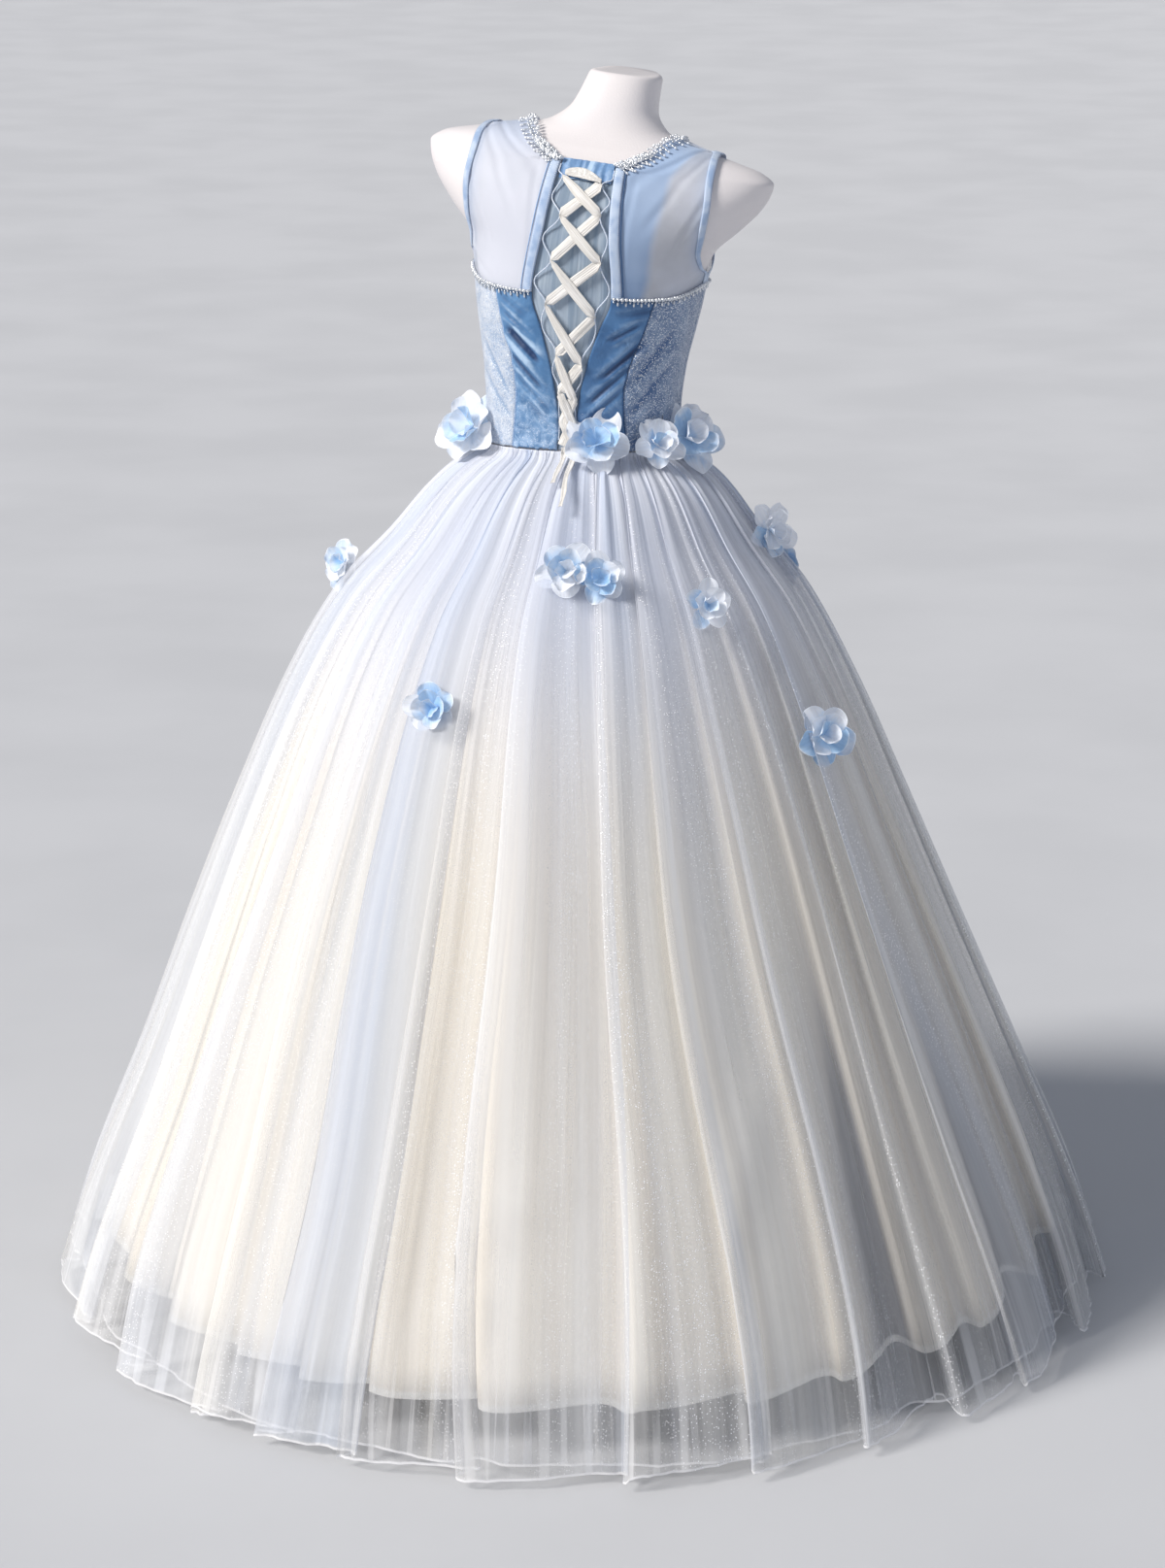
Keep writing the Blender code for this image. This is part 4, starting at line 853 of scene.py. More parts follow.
def make_tulle_finish(name, thin, drawn_alpha, blue_alpha, count, seed):
    """Fine glittered net: see-through, denser along its folds, with a rolled edge at the hem, a painted
    highlight along the folds' turned edges and painted shade in the hollows between them.
    """
    finish = Finish(name, Sheen_Weight=0.2)
    tree = finish.tree
    up = finish.share()[1]
    turned, hollow, _ = finish.marked("folds")
    blue, glittered, _ = finish.marked("drawn")
    fine = finish.use(drawn_threads, "Streak", Count=count, Reach=1.2, Seed=seed)
    wide = finish.use(drawn_threads, "Streak", Count=count * 0.22, Reach=0.9, Seed=seed + 5.0)
    slow = finish.use(drawn_threads, "Streak", Count=30.0, Reach=0.6, Seed=seed + 9.0)
    high = band(tree, up, 0.30, 0.80)
    pale = blend(tree, high, colour("f9f7f2"), colour("ebeff9"))
    base = blend(tree, reckon(tree, "MULTIPLY", slow, 0.5), pale, colour("d2dbf0"))
    base = blend(tree, reckon(tree, "MULTIPLY", blue, 0.75), base, colour("b7c8e4"))
    # Painted shade in the hollows between folds, darkest in the deep hollows
    base = blend(tree, reckon(tree, "MULTIPLY", hollow, 0.38), base, colour("9aa1b0"))
    deepest_shade = reckon(tree, "MULTIPLY", band(tree, hollow, 1.1, 2.4), 0.6)
    base = blend(tree, deepest_shade, base, colour("6b6862"))
    speck = finish.use(glitter_specks, "Speck", Scale=400.0, Share=0.34, Size=0.30)
    speck = reckon(tree, "MULTIPLY", speck, glittered)
    lines = finish.use(drawn_threads, "Streak", Count=300.0, Reach=3.0, Seed=seed + 13.0)
    lines = reckon(tree, "MULTIPLY", band(tree, lines, 0.62, 0.90), band(tree, up, 0.085, 0.02))
    edge = band(tree, up, 0.0022, 0.0010)
    # Glitter specks, and a painted highlight along the folds' turned edges and the slack folds' ridges
    bright = reckon(tree, "MAXIMUM", speck, reckon(tree, "MINIMUM", turned, 1.0))
    finish.feed("Base Color", blend(tree, reckon(tree, "MAXIMUM", bright, edge), base, colour("fbfcff")))
    threads = reckon(tree, "MULTIPLY_ADD", wide, 0.72, reckon(tree, "MULTIPLY", fine, 0.28))
    veil = reckon(tree, "MULTIPLY_ADD", threads, drawn_alpha, thin)
    veil = reckon(tree, "MULTIPLY_ADD", band(tree, up, 0.50, 1.0), 0.46, veil)
    veil = reckon(tree, "MULTIPLY_ADD", blue, blue_alpha, veil)
    veil = reckon(tree, "MULTIPLY_ADD", turned, 0.13, veil)
    veil = reckon(tree, "MULTIPLY_ADD", lines, 0.22, veil)
    veil = reckon(tree, "MAXIMUM", veil, reckon(tree, "MULTIPLY", speck, 0.95))
    finish.feed("Alpha", reckon(tree, "MAXIMUM", veil, reckon(tree, "MULTIPLY", edge, 0.55)))
    finish.feed("Roughness", reckon(tree, "MULTIPLY_ADD", speck, -0.55, 0.8))
    soft = finish.dent(wide, 0.0022, 0.6)
    finish.dent(fine, 0.0004, 0.5, soft)
    return finish.material


def make_lining_finish():
    """Cream lining with upright crinkles, glitter, a ragged hem line and painted shade in the hollows
    between the folds.
    """
    finish = Finish("cream_lining", Sheen_Weight=0.2)
    tree = finish.tree
    up = finish.share()[1]
    hollow = finish.marked("folds")[1]
    glittered = finish.marked("drawn")[1]
    fine = finish.use(drawn_threads, "Streak", Count=520.0, Reach=1.5, Seed=21.0)
    wide = finish.use(drawn_threads, "Streak", Count=90.0, Reach=0.9, Seed=27.0)
    high = band(tree, up, 0.30, 0.80)
    cream = blend(tree, wide, colour("eee6d8"), colour("f8f4ea"))
    base = blend(tree, high, cream, colour("eceef6"))
    base = blend(tree, reckon(tree, "MULTIPLY", fine, 0.09), base, colour("d2c7ba"))
    # Painted shade in the hollows between folds, darkest in the deep hollows
    base = blend(tree, reckon(tree, "MULTIPLY", hollow, 0.28), base, colour("a29890"))
    deepest_shade = reckon(tree, "MULTIPLY", band(tree, hollow, 1.0, 2.2), 0.85)
    base = blend(tree, deepest_shade, base, colour("4a453c"))
    speck = finish.use(glitter_specks, "Speck", Scale=400.0, Share=0.34, Size=0.30)
    speck = reckon(tree, "MULTIPLY", speck, glittered)
    edge = band(tree, up, 0.006, 0.003)
    finish.feed("Base Color", blend(tree, reckon(tree, "MAXIMUM", speck, edge), base, colour("fffdf6")))
    finish.feed("Roughness", reckon(tree, "MULTIPLY_ADD", speck, -0.30, 0.55))
    soft = finish.dent(wide, 0.0020, 0.5)
    finish.dent(fine, 0.0005, 0.6, soft)
    return finish.material


def make_petal_finish():
    """Organza petals: blue towards the middle or the rim, white elsewhere, with a bright edge."""
    finish = Finish("flower_organza", Roughness=0.6, Sheen_Weight=0.25, Specular_IOR_Level=0.35)
    tree = finish.tree
    across, up, _ = finish.share()
    tone = finish.marked("tone")
    cloud = finish.use(uneven, "Amount", Scale=60.0, Detail=2.0, Twist=0.4)
    depth = reckon(tree, "ADD", up, reckon(tree, "MULTIPLY_ADD", cloud, 0.35, -0.17))
    fade = band(tree, depth, tone[0], tone[1])
    deep = blend(tree, cloud, colour("9ac5ee"), colour("b8d9f6"))
    base = blend(tree, fade, deep, colour("f3f6fc"))
    veins = finish.use(drawn_threads, "Streak", Count=9.0, Reach=1.2, Seed=2.0)
    base = blend(tree, reckon(tree, "MULTIPLY", veins, 0.15), base, colour("c2daf5"))
    side = reckon(tree, "ABSOLUTE", reckon(tree, "MULTIPLY_ADD", across, 2.0, -1.0))
    edge = band(tree, reckon(tree, "MAXIMUM", up, side), 0.93, 0.98)
    finish.feed("Base Color", blend(tree, reckon(tree, "MULTIPLY", edge, 0.7), base, colour("f2f7ff")))
    finish.feed("Alpha", reckon(tree, "MAXIMUM", reckon(tree, "MULTIPLY_ADD", veins, 0.10, 0.80), edge))
    finish.dent(veins, 0.0003, 0.5)
    return finish.material


def make_bead_finish(finish, fineness, dark, pale, smooth, rough):
    """Beads that differ a little from one to the next."""
    tree = finish.tree
    shade = finish.use(uneven, "Amount", Scale=fineness, Detail=1.0)
    finish.feed("Base Color", blend(tree, shade, colour(dark), colour(pale)))
    finish.roughen(shade, smooth, rough)
    return finish.material


def make_cord_finish(name, dark, pale):
    finish = Finish(name, Roughness=0.5, Sheen_Weight=0.2)
    tree = finish.tree
    twist = finish.use(uneven, "Amount", Scale=900.0, Detail=1.0)
    finish.feed("Base Color", blend(tree, twist, colour(dark), colour(pale)))
    finish.dent(twist, 0.0002, 0.6)
    return finish.material


form_finish = make_form_finish()
stand_finish = make_stand_finish()
# The right-hand satin is a darker copy of the left, with less painted sheen low down: painted shade for
# the side away from the key light
satin_left_finish = make_satin_finish("bodice_satin_left", "42709f", "6391c0", "b4d0ec", 0.75)
satin_shaded_right_finish = make_satin_finish("bodice_satin_right_painted_shade", "315d8d", "4c7aab", "93b4d8", 0.20)
band_finish = make_satin_finish("top_band_satin", "4f7cae", "7aa0cc", "b4cfeb", 0.0)
# The right-hand velvet is a darker copy of the left: painted shade
velvet_left_finish = make_velvet_finish("bodice_velvet_left", "86a1c3", "dfe5ee")
velvet_shaded_right_finish = make_velvet_finish("bodice_velvet_right_painted_shade", "3f6292", "9fb1ca")
# The right-hand yoke net's pale parts are greyer than the left and front: painted shade
yoke_left_finish = make_yoke_finish("yoke_net_left", -1.0, 0.2, 0.3, "e3eaf9", "8fabce")
yoke_shaded_right_finish = make_yoke_finish("yoke_net_right_painted_shade", 0.18, 0.42, 0.11, "c8ced8", "8ba7cd")
yoke_front_finish = make_yoke_finish("yoke_net_front", -1.0, 0.2, 0.3, "dfe5f2", "93b0d8")
binding_finish = make_tape_finish("pale_binding", "98b2d6", "c6d6ec")
modesty_finish = make_modesty_finish()
ribbon_finish = make_ribbon_finish()
outer_finish = make_tulle_finish("tulle_outer", 0.13, 0.28, 0.24, 560.0, 0.0)
under_finish = make_tulle_finish("tulle_under", 0.09, 0.20, 0.08, 460.0, 40.0)
lining_finish = make_lining_finish()
petal_finish = make_petal_finish()
silver = Finish("silver_bead", Metallic=0.6, Coat_Weight=0.5, Coat_Roughness=0.05)
bead_finish = make_bead_finish(silver, 330.0, "c3c9d0", "f4f6f9", 0.10, 0.30)
crystal = Finish("crystal_bead", Coat_Weight=0.8, Coat_Roughness=0.03, Specular_IOR_Level=0.9)
crystal_finish = make_bead_finish(crystal, 400.0, "d7dee8", "ffffff", 0.05, 0.22)
loop_finish = make_cord_finish("loop_cord", "b7c9e3", "edf2fa")
piping_finish = make_cord_finish("seam_piping", "6f97c8", "a9c6e8")
# A darker copy of the piping, used on the right back only: painted shade
shaded_piping_finish = make_cord_finish("dark_piping", "1f426f", "34608f")


# Pieces: meshes from functions
def new_piece(name, data, finish):
    piece = bpy.data.objects.new(name, data)
    data.materials.append(finish)
    bpy.context.scene.collection.objects.link(piece)
    return piece


def hand_over(piece, slot, nodes=()):
    """Ties a piece to the frame's one body and hides the solids that it stands for."""
    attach(piece, "root")
    if nodes:
        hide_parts(*nodes)
    return piece


def cut_size(place):
    """The width and length of the flat cloth, measured along the middle of the piece both ways."""
    steps = 48
    across = [place(step / steps, 0.5) for step in range(steps + 1)]
    upward = [place(0.5, step / steps) for step in range(steps + 1)]
    return [sum((b - a).length for a, b in zip(run, run[1:])) for run in (across, upward)]


def cloth(name, columns, rows, place, finish, wall=0.0, size=None, marks=None):
    """A cloth piece: a grid laid by a function of two shares, with its share and its measure as UV maps.
    Marks are further maps, each by a function of the same shares."""
    mesh = bmesh.new()
    bmesh.ops.create_grid(mesh, x_segments=columns, y_segments=rows, size=0.5)
    width, length = size or cut_size(place)
    maps = {"share": lambda u, v: (u, v), "cloth": lambda u, v: (u * width, v * length)}
    maps.update(marks or {})
    layers = [mesh.loops.layers.uv.new(key) for key in maps]
    for layer, mark in zip(layers, maps.values()):
        values = {vertex: mark(vertex.co.x + 0.5, vertex.co.y + 0.5) for vertex in mesh.verts}
        for face in mesh.faces:
            for loop in face.loops:
                loop[layer].uv = values[loop.vert]
    for vertex in mesh.verts:
        vertex.co = place(vertex.co.x + 0.5, vertex.co.y + 0.5)
    bmesh.ops.remove_doubles(mesh, verts=mesh.verts, dist=1e-6)
    mesh.normal_update()
    data = bpy.data.meshes.new(name)
    mesh.to_mesh(data)
    mesh.free()
    data.shade_smooth()
    piece = new_piece(name, data, finish)
    if wall > 0.0:
        solid = piece.modifiers.new("wall", "SOLIDIFY")
        solid.thickness = wall
        solid.offset = 0.0
    return piece


def cord(name, points, radius, finish, cyclic=False):
    """A round cord along points."""
    data = bpy.data.curves.new(name, "CURVE")
    data.dimensions = "3D"
    data.bevel_depth = radius
    data.bevel_resolution = 2
    data.use_fill_caps = True
    spline = data.splines.new("POLY")
    spline.points.add(len(points) - 1)
    for index, point in enumerate(points):
        spline.points[index].co = (*point, 1.0)
    spline.use_cyclic_u = cyclic
    return new_piece(name, data, finish)


# The stage, whose floor bends up very gently far away so that it fills the view
FLOOR_FLAT = 5.0
FLOOR_FAR = 90.0
FLOOR_TILT = 9.0
FLOOR_RINGS = 24
FLOOR_SIDES = 96


CAMERA_AWAY = 3.47
CAMERA_ASIDE = 12.0
CAMERA_HEIGHT = 1.54
CAMERA_DOWN = 15.0
CAMERA_LENS = 66.87
CAMERA_FILM = 36.0

Light = namedtuple("Light", "name energy tint turn height spread")
LIGHTS = (
    Light("key", 3.8, "fffaf4", 54.0, 38.0, 18.0),
    Light("fill", 0.22, "e4ecff", -62.0, 24.0, 50.0),
)
STUDIO_TINT = "c6ccd8"
STUDIO_STRENGTH = 0.44


def make_camera():
    """The photograph's view: from behind, a little from above and from the wearer's right."""
    aside = math.radians(CAMERA_ASIDE)
    data = bpy.data.cameras.new("camera")
    data.sensor_fit = "VERTICAL"
    data.sensor_height = CAMERA_FILM
    data.lens = CAMERA_LENS
    data.clip_end = 2.0 * FLOOR_FAR
    camera = bpy.data.objects.new("camera", data)
    camera.location = (-CAMERA_AWAY * math.sin(aside), CAMERA_AWAY * math.cos(aside), CAMERA_HEIGHT)
    camera.rotation_euler = (math.radians(90.0 - CAMERA_DOWN), 0.0, math.radians(180.0) + aside)
    bpy.context.scene.collection.objects.link(camera)
    bpy.context.scene.camera = camera


def make_floor():
    corners = []
    faces = [list(reversed(range(FLOOR_SIDES)))]
    height = 0.0
    before = FLOOR_FLAT
    for ring in range(FLOOR_RINGS + 1):
        share = ring / FLOOR_RINGS
        radius = FLOOR_FLAT * (FLOOR_FAR / FLOOR_FLAT) ** share
        height += (radius - before) * math.tan(math.radians(FLOOR_TILT * share))
        before = radius
        for side in range(FLOOR_SIDES):
            spot = outward(360.0 * side / FLOOR_SIDES) * radius
            corners.append((spot.x, spot.y, height))
            if ring > 0:
                inner = (ring - 1) * FLOOR_SIDES
                after = (side + 1) % FLOOR_SIDES
                outer = inner + FLOOR_SIDES
                faces.append((inner + side, inner + after, outer + after, outer + side))
    data = bpy.data.meshes.new("floor")
    data.from_pydata(corners, [], faces)
    data.shade_smooth()
    finish = Finish("floor_paint", Specular_IOR_Level=0.2)
    shade = finish.use(uneven, "Amount", Scale=1.5, Detail=4.0)
    finish.feed("Base Color", blend(finish.tree, shade, colour("c6c8cc"), colour("cbcdd1")))
    finish.roughen(shade, 0.75, 0.85)
    floor = new_piece("floor", data, finish.material)


def make_light(row):
    """A soft light that shines in from an angle round the dress and an angle above the floor."""
    data = bpy.data.lights.new(row.name, "SUN")
    data.energy = row.energy
    data.color = colour(row.tint)[:3]
    data.angle = math.radians(row.spread)
    light = bpy.data.objects.new(row.name, data)
    above = math.radians(row.height)
    source = outward(row.turn) * math.cos(above) + Vector((0.0, 0.0, math.sin(above)))
    light.rotation_euler = (-source).to_track_quat("-Z", "Y").to_euler()
    bpy.context.scene.collection.objects.link(light)


def make_lights():
    for row in LIGHTS:
        make_light(row)
    world = bpy.data.worlds.new("studio")
    world.use_nodes = True
    background = world.node_tree.nodes["Background"]
    background.inputs["Color"].default_value = colour(STUDIO_TINT)
    background.inputs["Strength"].default_value = STUDIO_STRENGTH
    bpy.context.scene.world = world
    bpy.context.scene.view_settings.view_transform = "Standard"


# The dress form
def make_form():
    """The limbless bust: smooth, with its neck's edge a little rounded."""
    rim = NECK_TOP - NECK_ROUNDING
    heights = [mix(FORM_BOTTOM, SHOULDER_LOW, step / 60) for step in range(60)]
    heights += [mix(SHOULDER_LOW, NECK_FOOT, step / 44) for step in range(44)]
    heights += [mix(NECK_FOOT, rim, step / 14) for step in range(15)]
    for angle in (25, 50, 70, 90):
        heights.append(NECK_TOP - NECK_ROUNDING * (1.0 - math.sin(math.radians(angle))))
    last = len(heights) - 1

    def place(u, v):
        height = heights[round(v * last)]
        near_top = max(0.0, height - rim) / NECK_ROUNDING
        inset = NECK_ROUNDING * (1.0 - math.sqrt(max(0.0, 1.0 - near_top * near_top)))
        return posed(round_form(height, 360.0 * u, -SEAM_GAP - inset))

    piece = cloth("dress_form_torso", 112, last, place, form_finish, size=(0.8, 0.6))
    mesh = bmesh.new()
    mesh.from_mesh(piece.data)
    bmesh.ops.holes_fill(mesh, edges=mesh.edges, sides=0)
    bmesh.ops.recalc_face_normals(mesh, faces=mesh.faces)
    mesh.to_mesh(piece.data)
    mesh.free()
    piece.data.set_sharp_from_angle(angle=math.radians(50))
    hand_over(piece, "form_white", ["form_torso"])
    for node in ("form_pole", "form_base"):
        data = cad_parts[node].data
        data.materials.clear()
        data.materials.append(stand_finish)


# The bodice
def opening_turn(side):
    return lambda height: side * turn_for(opening_width.at(height), height)


def back_seam(side):
    return lambda height: side * turn_for(back_princess.at(height), height)


def front_seam(side):
    return lambda height: side * (180.0 - turn_for(front_princess.at(height), height))


def side_seam(side):
    return lambda height: side * 90.0


def bodice_relief(point):
    """How far the satin and velvet stand in or out of their smooth form."""
    if point.y < 0.0:
        return 0.0
    return sum(trough(point.x, point.z, line) for line in CREASES)


def make_panel(name, left, right, finish, slot, columns, rows=72):
    """One panel between two edges, each a function of height that gives an angle."""

    # The painted light map: the crease relief, painted as highlight on the ridges and shade in the
    # troughs, and the share low on the panel that gets painted sheen
    def painted_light(u, v):
        height = mix(WAIST, BODICE_TOP, v)
        flat = round_form(height, mix(left(height), right(height), u), 0.0)
        return 0.5 + bodice_relief(flat) / 0.0042, ease(0.55, 0.0, v)

    def place(u, v):
        height = mix(WAIST, BODICE_TOP, v)
        margin = math.degrees(0.8 * SEAM_GAP / form_half_width.at(height))
        turn = mix(left(height) + margin, right(height) - margin, u)
        top = bead_line.at(from_back(turn)) - SEAM_GAP
        height = mix(WAIST, top, v)
        ragged = 0.0032 * noise.noise(Vector((turn * 0.35, 3.0, 0.0))) * ease(0.06, 0.0, v)
        relief = bodice_relief(round_form(height, turn, 0.0))
        tucked = 0.0012 * (ease(0.03, 0.0, u) + ease(0.97, 1.0, u))
        return posed(round_form(height + ragged, turn, PANEL_FACE + relief - tucked))

    piece = cloth(name, columns, rows, place, finish, BODICE_WALL, marks={"painted_light": painted_light})
    cut_size(place)
    hand_over(piece, slot, [name])


def make_bodice():
    # The right side's satin and velvet are darker copies: painted shade
    sides = (
        (1, "left", satin_left_finish, velvet_left_finish),
        (-1, "right", satin_shaded_right_finish, velvet_shaded_right_finish),
    )
    for side, word, satin, velvet in sides:
        strips = (
            ("bodice_back_", opening_turn(side), back_seam(side), satin, "bodice_satin", 44),
            ("bodice_side_back_", back_seam(side), side_seam(side), velvet, "bodice_velvet", 40),
            ("bodice_side_front_", side_seam(side), front_seam(side), velvet, "bodice_velvet", 40),
        )
        for name, first, second, finish, slot, columns in strips:
            low, high = (first, second) if side > 0 else (second, first)
            make_panel(name + word, low, high, finish, slot, columns)
    make_panel(
        "bodice_centre_front",
        front_seam(1),
        lambda height: 360.0 + front_seam(-1)(height),
        satin_left_finish,
        "bodice_satin",
        56,
    )


def make_piping():
    """The raised lines of the princess seams."""
    seams = (
        ("back_left", back_seam(1), piping_finish),
        # The right back piping is the darker copy: painted shade
        ("back_right", back_seam(-1), shaded_piping_finish),
        ("front_left", front_seam(1), piping_finish),
        ("front_right", front_seam(-1), piping_finish),
    )
    for word, seam, finish in seams:
        points = []
        for step in range(61):
            height = mix(WAIST + 0.001, BODICE_TOP - 0.004, step / 60)
            turn = seam(height)
            relief = bodice_relief(round_form(height, turn, 0.0))
            points.append(posed(round_form(height, turn, PANEL_FACE - 0.0002 + relief)))
        piece = cord("seam_piping_" + word, points, 0.0008, finish)
        hand_over(piece, "bodice_satin")


# The yoke
def inner_edge(share):
    """Up the back opening, then round the neckline to the shoulder."""
    if share < NECKLINE_FROM:
        height = mix(OPENING[-3].height, OPENING[-1].height, share / NECKLINE_FROM)
        return Vector((opening_width.at(height), form_back.at(height), height))
    return along(NECKLINE_BACK, (share - NECKLINE_FROM) / (1.0 - NECKLINE_FROM))


def bead_edge(turn):
    return round_form(bead_line.at(from_back(turn)) + SEAM_GAP, turn, 0.0)


def patch(u, v, left, right, bottom, top, corners):
    """Blends four edges over the area that they close."""
    sides = mix(left, right, u)
    ends = mix(bottom, top, v)
    both = mix(mix(corners[0], corners[1], u), mix(corners[2], corners[3], u), v)
    return sides + ends - both


def yoke_back(u, v, side, lift):
    """A place on a back yoke: u runs from opening to armhole, v from bead line to shoulder."""
    first = turn_for(opening_width.at(OPENING[-3].height), OPENING[-3].height)
    inner = inner_edge(v)
    outer = along(ARMHOLE_BACK, v)
    bottom = bead_edge(mix(first, 90.0, u))
    top = mix(Vector(NECKLINE_BACK[-1]), Vector(ARMHOLE_BACK[-1]), u)
    corners = (inner_edge(0.0), Vector(ARMHOLE_BACK[0]), inner_edge(1.0), Vector(ARMHOLE_BACK[-1]))
    point = settled(patch(u, v, inner, outer, bottom, top, corners), lift)
    point.x *= side
    return point


def front_top(u):
    """The front's upper edge from shoulder to shoulder, with the scooped neckline between."""
    side = 1.0 if u > 0.5 else -1.0
    reach = abs(u - 0.5) * 2.0
    if reach > NECKLINE_SHARE:
        shoulder = (reach - NECKLINE_SHARE) / (1.0 - NECKLINE_SHARE)
        point = mix(Vector(NECKLINE_FRONT[0]), Vector(ARMHOLE_FRONT[-1]), shoulder)
    else:
        point = along(NECKLINE_FRONT, 1.0 - reach / NECKLINE_SHARE)
    point.x *= side
    return point


def yoke_front(u, v, lift):
    """A place on the front yoke: u runs from the right armhole to the left one."""
    right = along(ARMHOLE_FRONT, v)
    left = right.copy()
    right.x = -right.x
    bottom = bead_edge(mix(-90.0, -270.0, u))
    low = Vector(ARMHOLE_FRONT[0])
    high = Vector(ARMHOLE_FRONT[-1])
    mirror = Vector((-1.0, 1.0, 1.0))
    corners = (low * mirror, low, high * mirror, high)
    return settled(patch(u, v, right, left, bottom, front_top(u), corners), lift)


def make_yoke():
    for side, word, finish in ((1, "left", yoke_left_finish), (-1, "right", yoke_shaded_right_finish)):

        def place(u, v, side=side):
            pull = sum(trough(u, v, line) for line in PULLS)
            return posed(yoke_back(u, v, side, PANEL_FACE - 0.0006 + pull))

        piece = cloth("yoke_back_" + word, 44, 60, place, finish)
        cut_size(place)
        hand_over(piece, "yoke_net", ["yoke_back_" + word])

    def front(u, v):
        pull = sum(trough(abs(2.0 * u - 1.0), v, line) for line in PULLS)
        return posed(yoke_front(u, v, PANEL_FACE - 0.0006 + 0.7 * pull))

    piece = cloth("yoke_front", 96, 60, front, yoke_front_finish)
    cut_size(front)
    hand_over(piece, "yoke_net", ["yoke_front"])


# Bindings, loops, modesty panel and lacing
def band_share(width, v, side):
    """The share of the yoke's width that a band of this width takes."""
    across = (yoke_back(0.0, v, side, 0.0) - yoke_back(1.0, v, side, 0.0)).length
    return width / max(across, width)


def make_bindings():
    for side, word in ((1, "left"), (-1, "right")):

        def armhole(u, v, side=side):
            crown = 0.0010 * (1.0 - (2.0 * u - 1.0) ** 4)
            lift = BINDING_FACE - 0.0006 + crown
            if v < 0.5:
                share = band_share(BINDING_WIDTH, 2.0 * v, side)
                return posed(yoke_back(1.0 - share * u, 2.0 * v, side, lift))
            share = BINDING_WIDTH / YOKE_FRONT_WIDTH
            across = 1.0 - share * u if side > 0 else share * u
            return posed(yoke_front(across, 2.0 - 2.0 * v, lift))

        piece = cloth("armhole_binding_" + word, 6, 120, armhole, binding_finish, TAPE_WALL)
        flat = (BINDING_CUT, cut_size(armhole)[1])
        hand_over(piece, "pale_binding", ["armhole_binding_" + word])

        def placket(u, v, side=side):
            station = v * NECKLINE_FROM
            share = band_share(BINDING_WIDTH, station, side)
            crown = 0.0010 * (1.0 - (2.0 * u - 1.0) ** 4)
            return posed(yoke_back(share * u, station, side, BINDING_FACE - 0.0004 + crown))

        piece = cloth("placket_binding_" + word, 6, 60, placket, binding_finish, TAPE_WALL)
        flat = (BINDING_CUT, cut_size(placket)[1])
        hand_over(piece, "pale_binding", ["placket_binding_" + word])

        points = []
        for step in range(41):
            station = step / 40 * NECKLINE_FROM
            share = band_share(BINDING_WIDTH + 0.0016, station, side)
            points.append(posed(yoke_back(share, station, side, PANEL_FACE + 0.0004)))
        # The right side's darker piping is painted shade
        finish = shaded_piping_finish if side < 0 else piping_finish
        piece = cord("placket_piping_" + word, points, 0.0007, finish)
        hand_over(piece, "pale_binding")


def make_loops():
    """The scalloped cords along the opening that the ribbon passes through."""
    steps = 12
    for side, word, laces in ((1, "left", LACE_LEFT), (-1, "right", LACE_RIGHT)):
        points = []
        stops = [LOOP_BOTTOM] + [row.height for row in reversed(laces)] + [LOOP_TOP]
        reaches = [0.0] + [abs(row.half_width) for row in reversed(laces)] + [0.0]
        for index in range((len(stops) - 1) * steps + 1):
            row = min(index // steps, len(stops) - 2)
            share = index / steps - row
            height = mix(stops[row], stops[row + 1], share)
            edge = opening_width.at(height) - LOOP_INSET
            nearest = reaches[row] if share < 0.5 else reaches[row + 1]
            scallop = math.cos(math.pi * share) ** 2 * (1.0 if nearest > 0.0 else 0.0)
            x = mix(edge, nearest, scallop)
            rise = mix(PANEL_FACE - 0.0006, RIBBON_UNDER, scallop)
            points.append(posed(on_back(side * x, height, rise)))
        piece = cord("loop_strip_" + word, points, LOOP_CORD, loop_finish)
        hand_over(piece, "pale_binding", ["loop_strip_" + word])


def make_modesty():
    def place(u, v):
        height = mix(WAIST + SEAM_GAP, MODESTY_TOP, v)
        reach = opening_width.at(height) + MODESTY_OVERLAP * ease(1.36, 1.30, height)
        ripple = 0.0005 * noise.noise(Vector((u * 9.0, v * 2.0, 7.0)))
        return posed(on_back(mix(-reach, reach, u), height, 0.0010 + ripple))

    piece = cloth("modesty_panel", 40, 90, place, modesty_finish)
    cut_size(place)
    hand_over(piece, "modesty_net", ["modesty_panel"])

    # Painted light for the top band: paler on the gathers' ridges and darker between them, and a pale
    # slanting stripe standing for a tuck: painted highlight
    def band_painted_light(u, v):
        tuck = 1.2 * math.exp(-((u - 0.50 + 0.06 * v) / 0.035) ** 2)
        return 0.5 + 0.16 * gathered(u, v) + tuck, 0.0

    def gathered(u, v):
        return math.sin(u * 2 * math.pi * 6.0 + 4.0 * noise.noise(Vector((u * 5.0, v, 1.0))))

    def top_band(u, v):
        height = mix(1.3440, MODESTY_TOP + 0.001, v)
        x = mix(-0.0305, 0.0305, u)
        return posed(on_back(x, height, 0.0026 + 0.0006 * gathered(u, v) * mix(1.0, 0.5, v)))

    piece = cloth("modesty_top_band", 72, 10, top_band, band_finish, marks={"painted_light": band_painted_light})
    cut_size(top_band)
    hand_over(piece, "bodice_satin")


def lace_route(first_side):
    """The ribbon's stops down the back, from one side's loop to the other's."""
    stops = []
    start = 0 if first_side > 0 else 1
    for index in range(len(LACE_LEFT)):
        left_turn = (index + start) % 2 == 0
        stops.append(LACE_LEFT[index] if left_turn else LACE_RIGHT[index])
    return stops


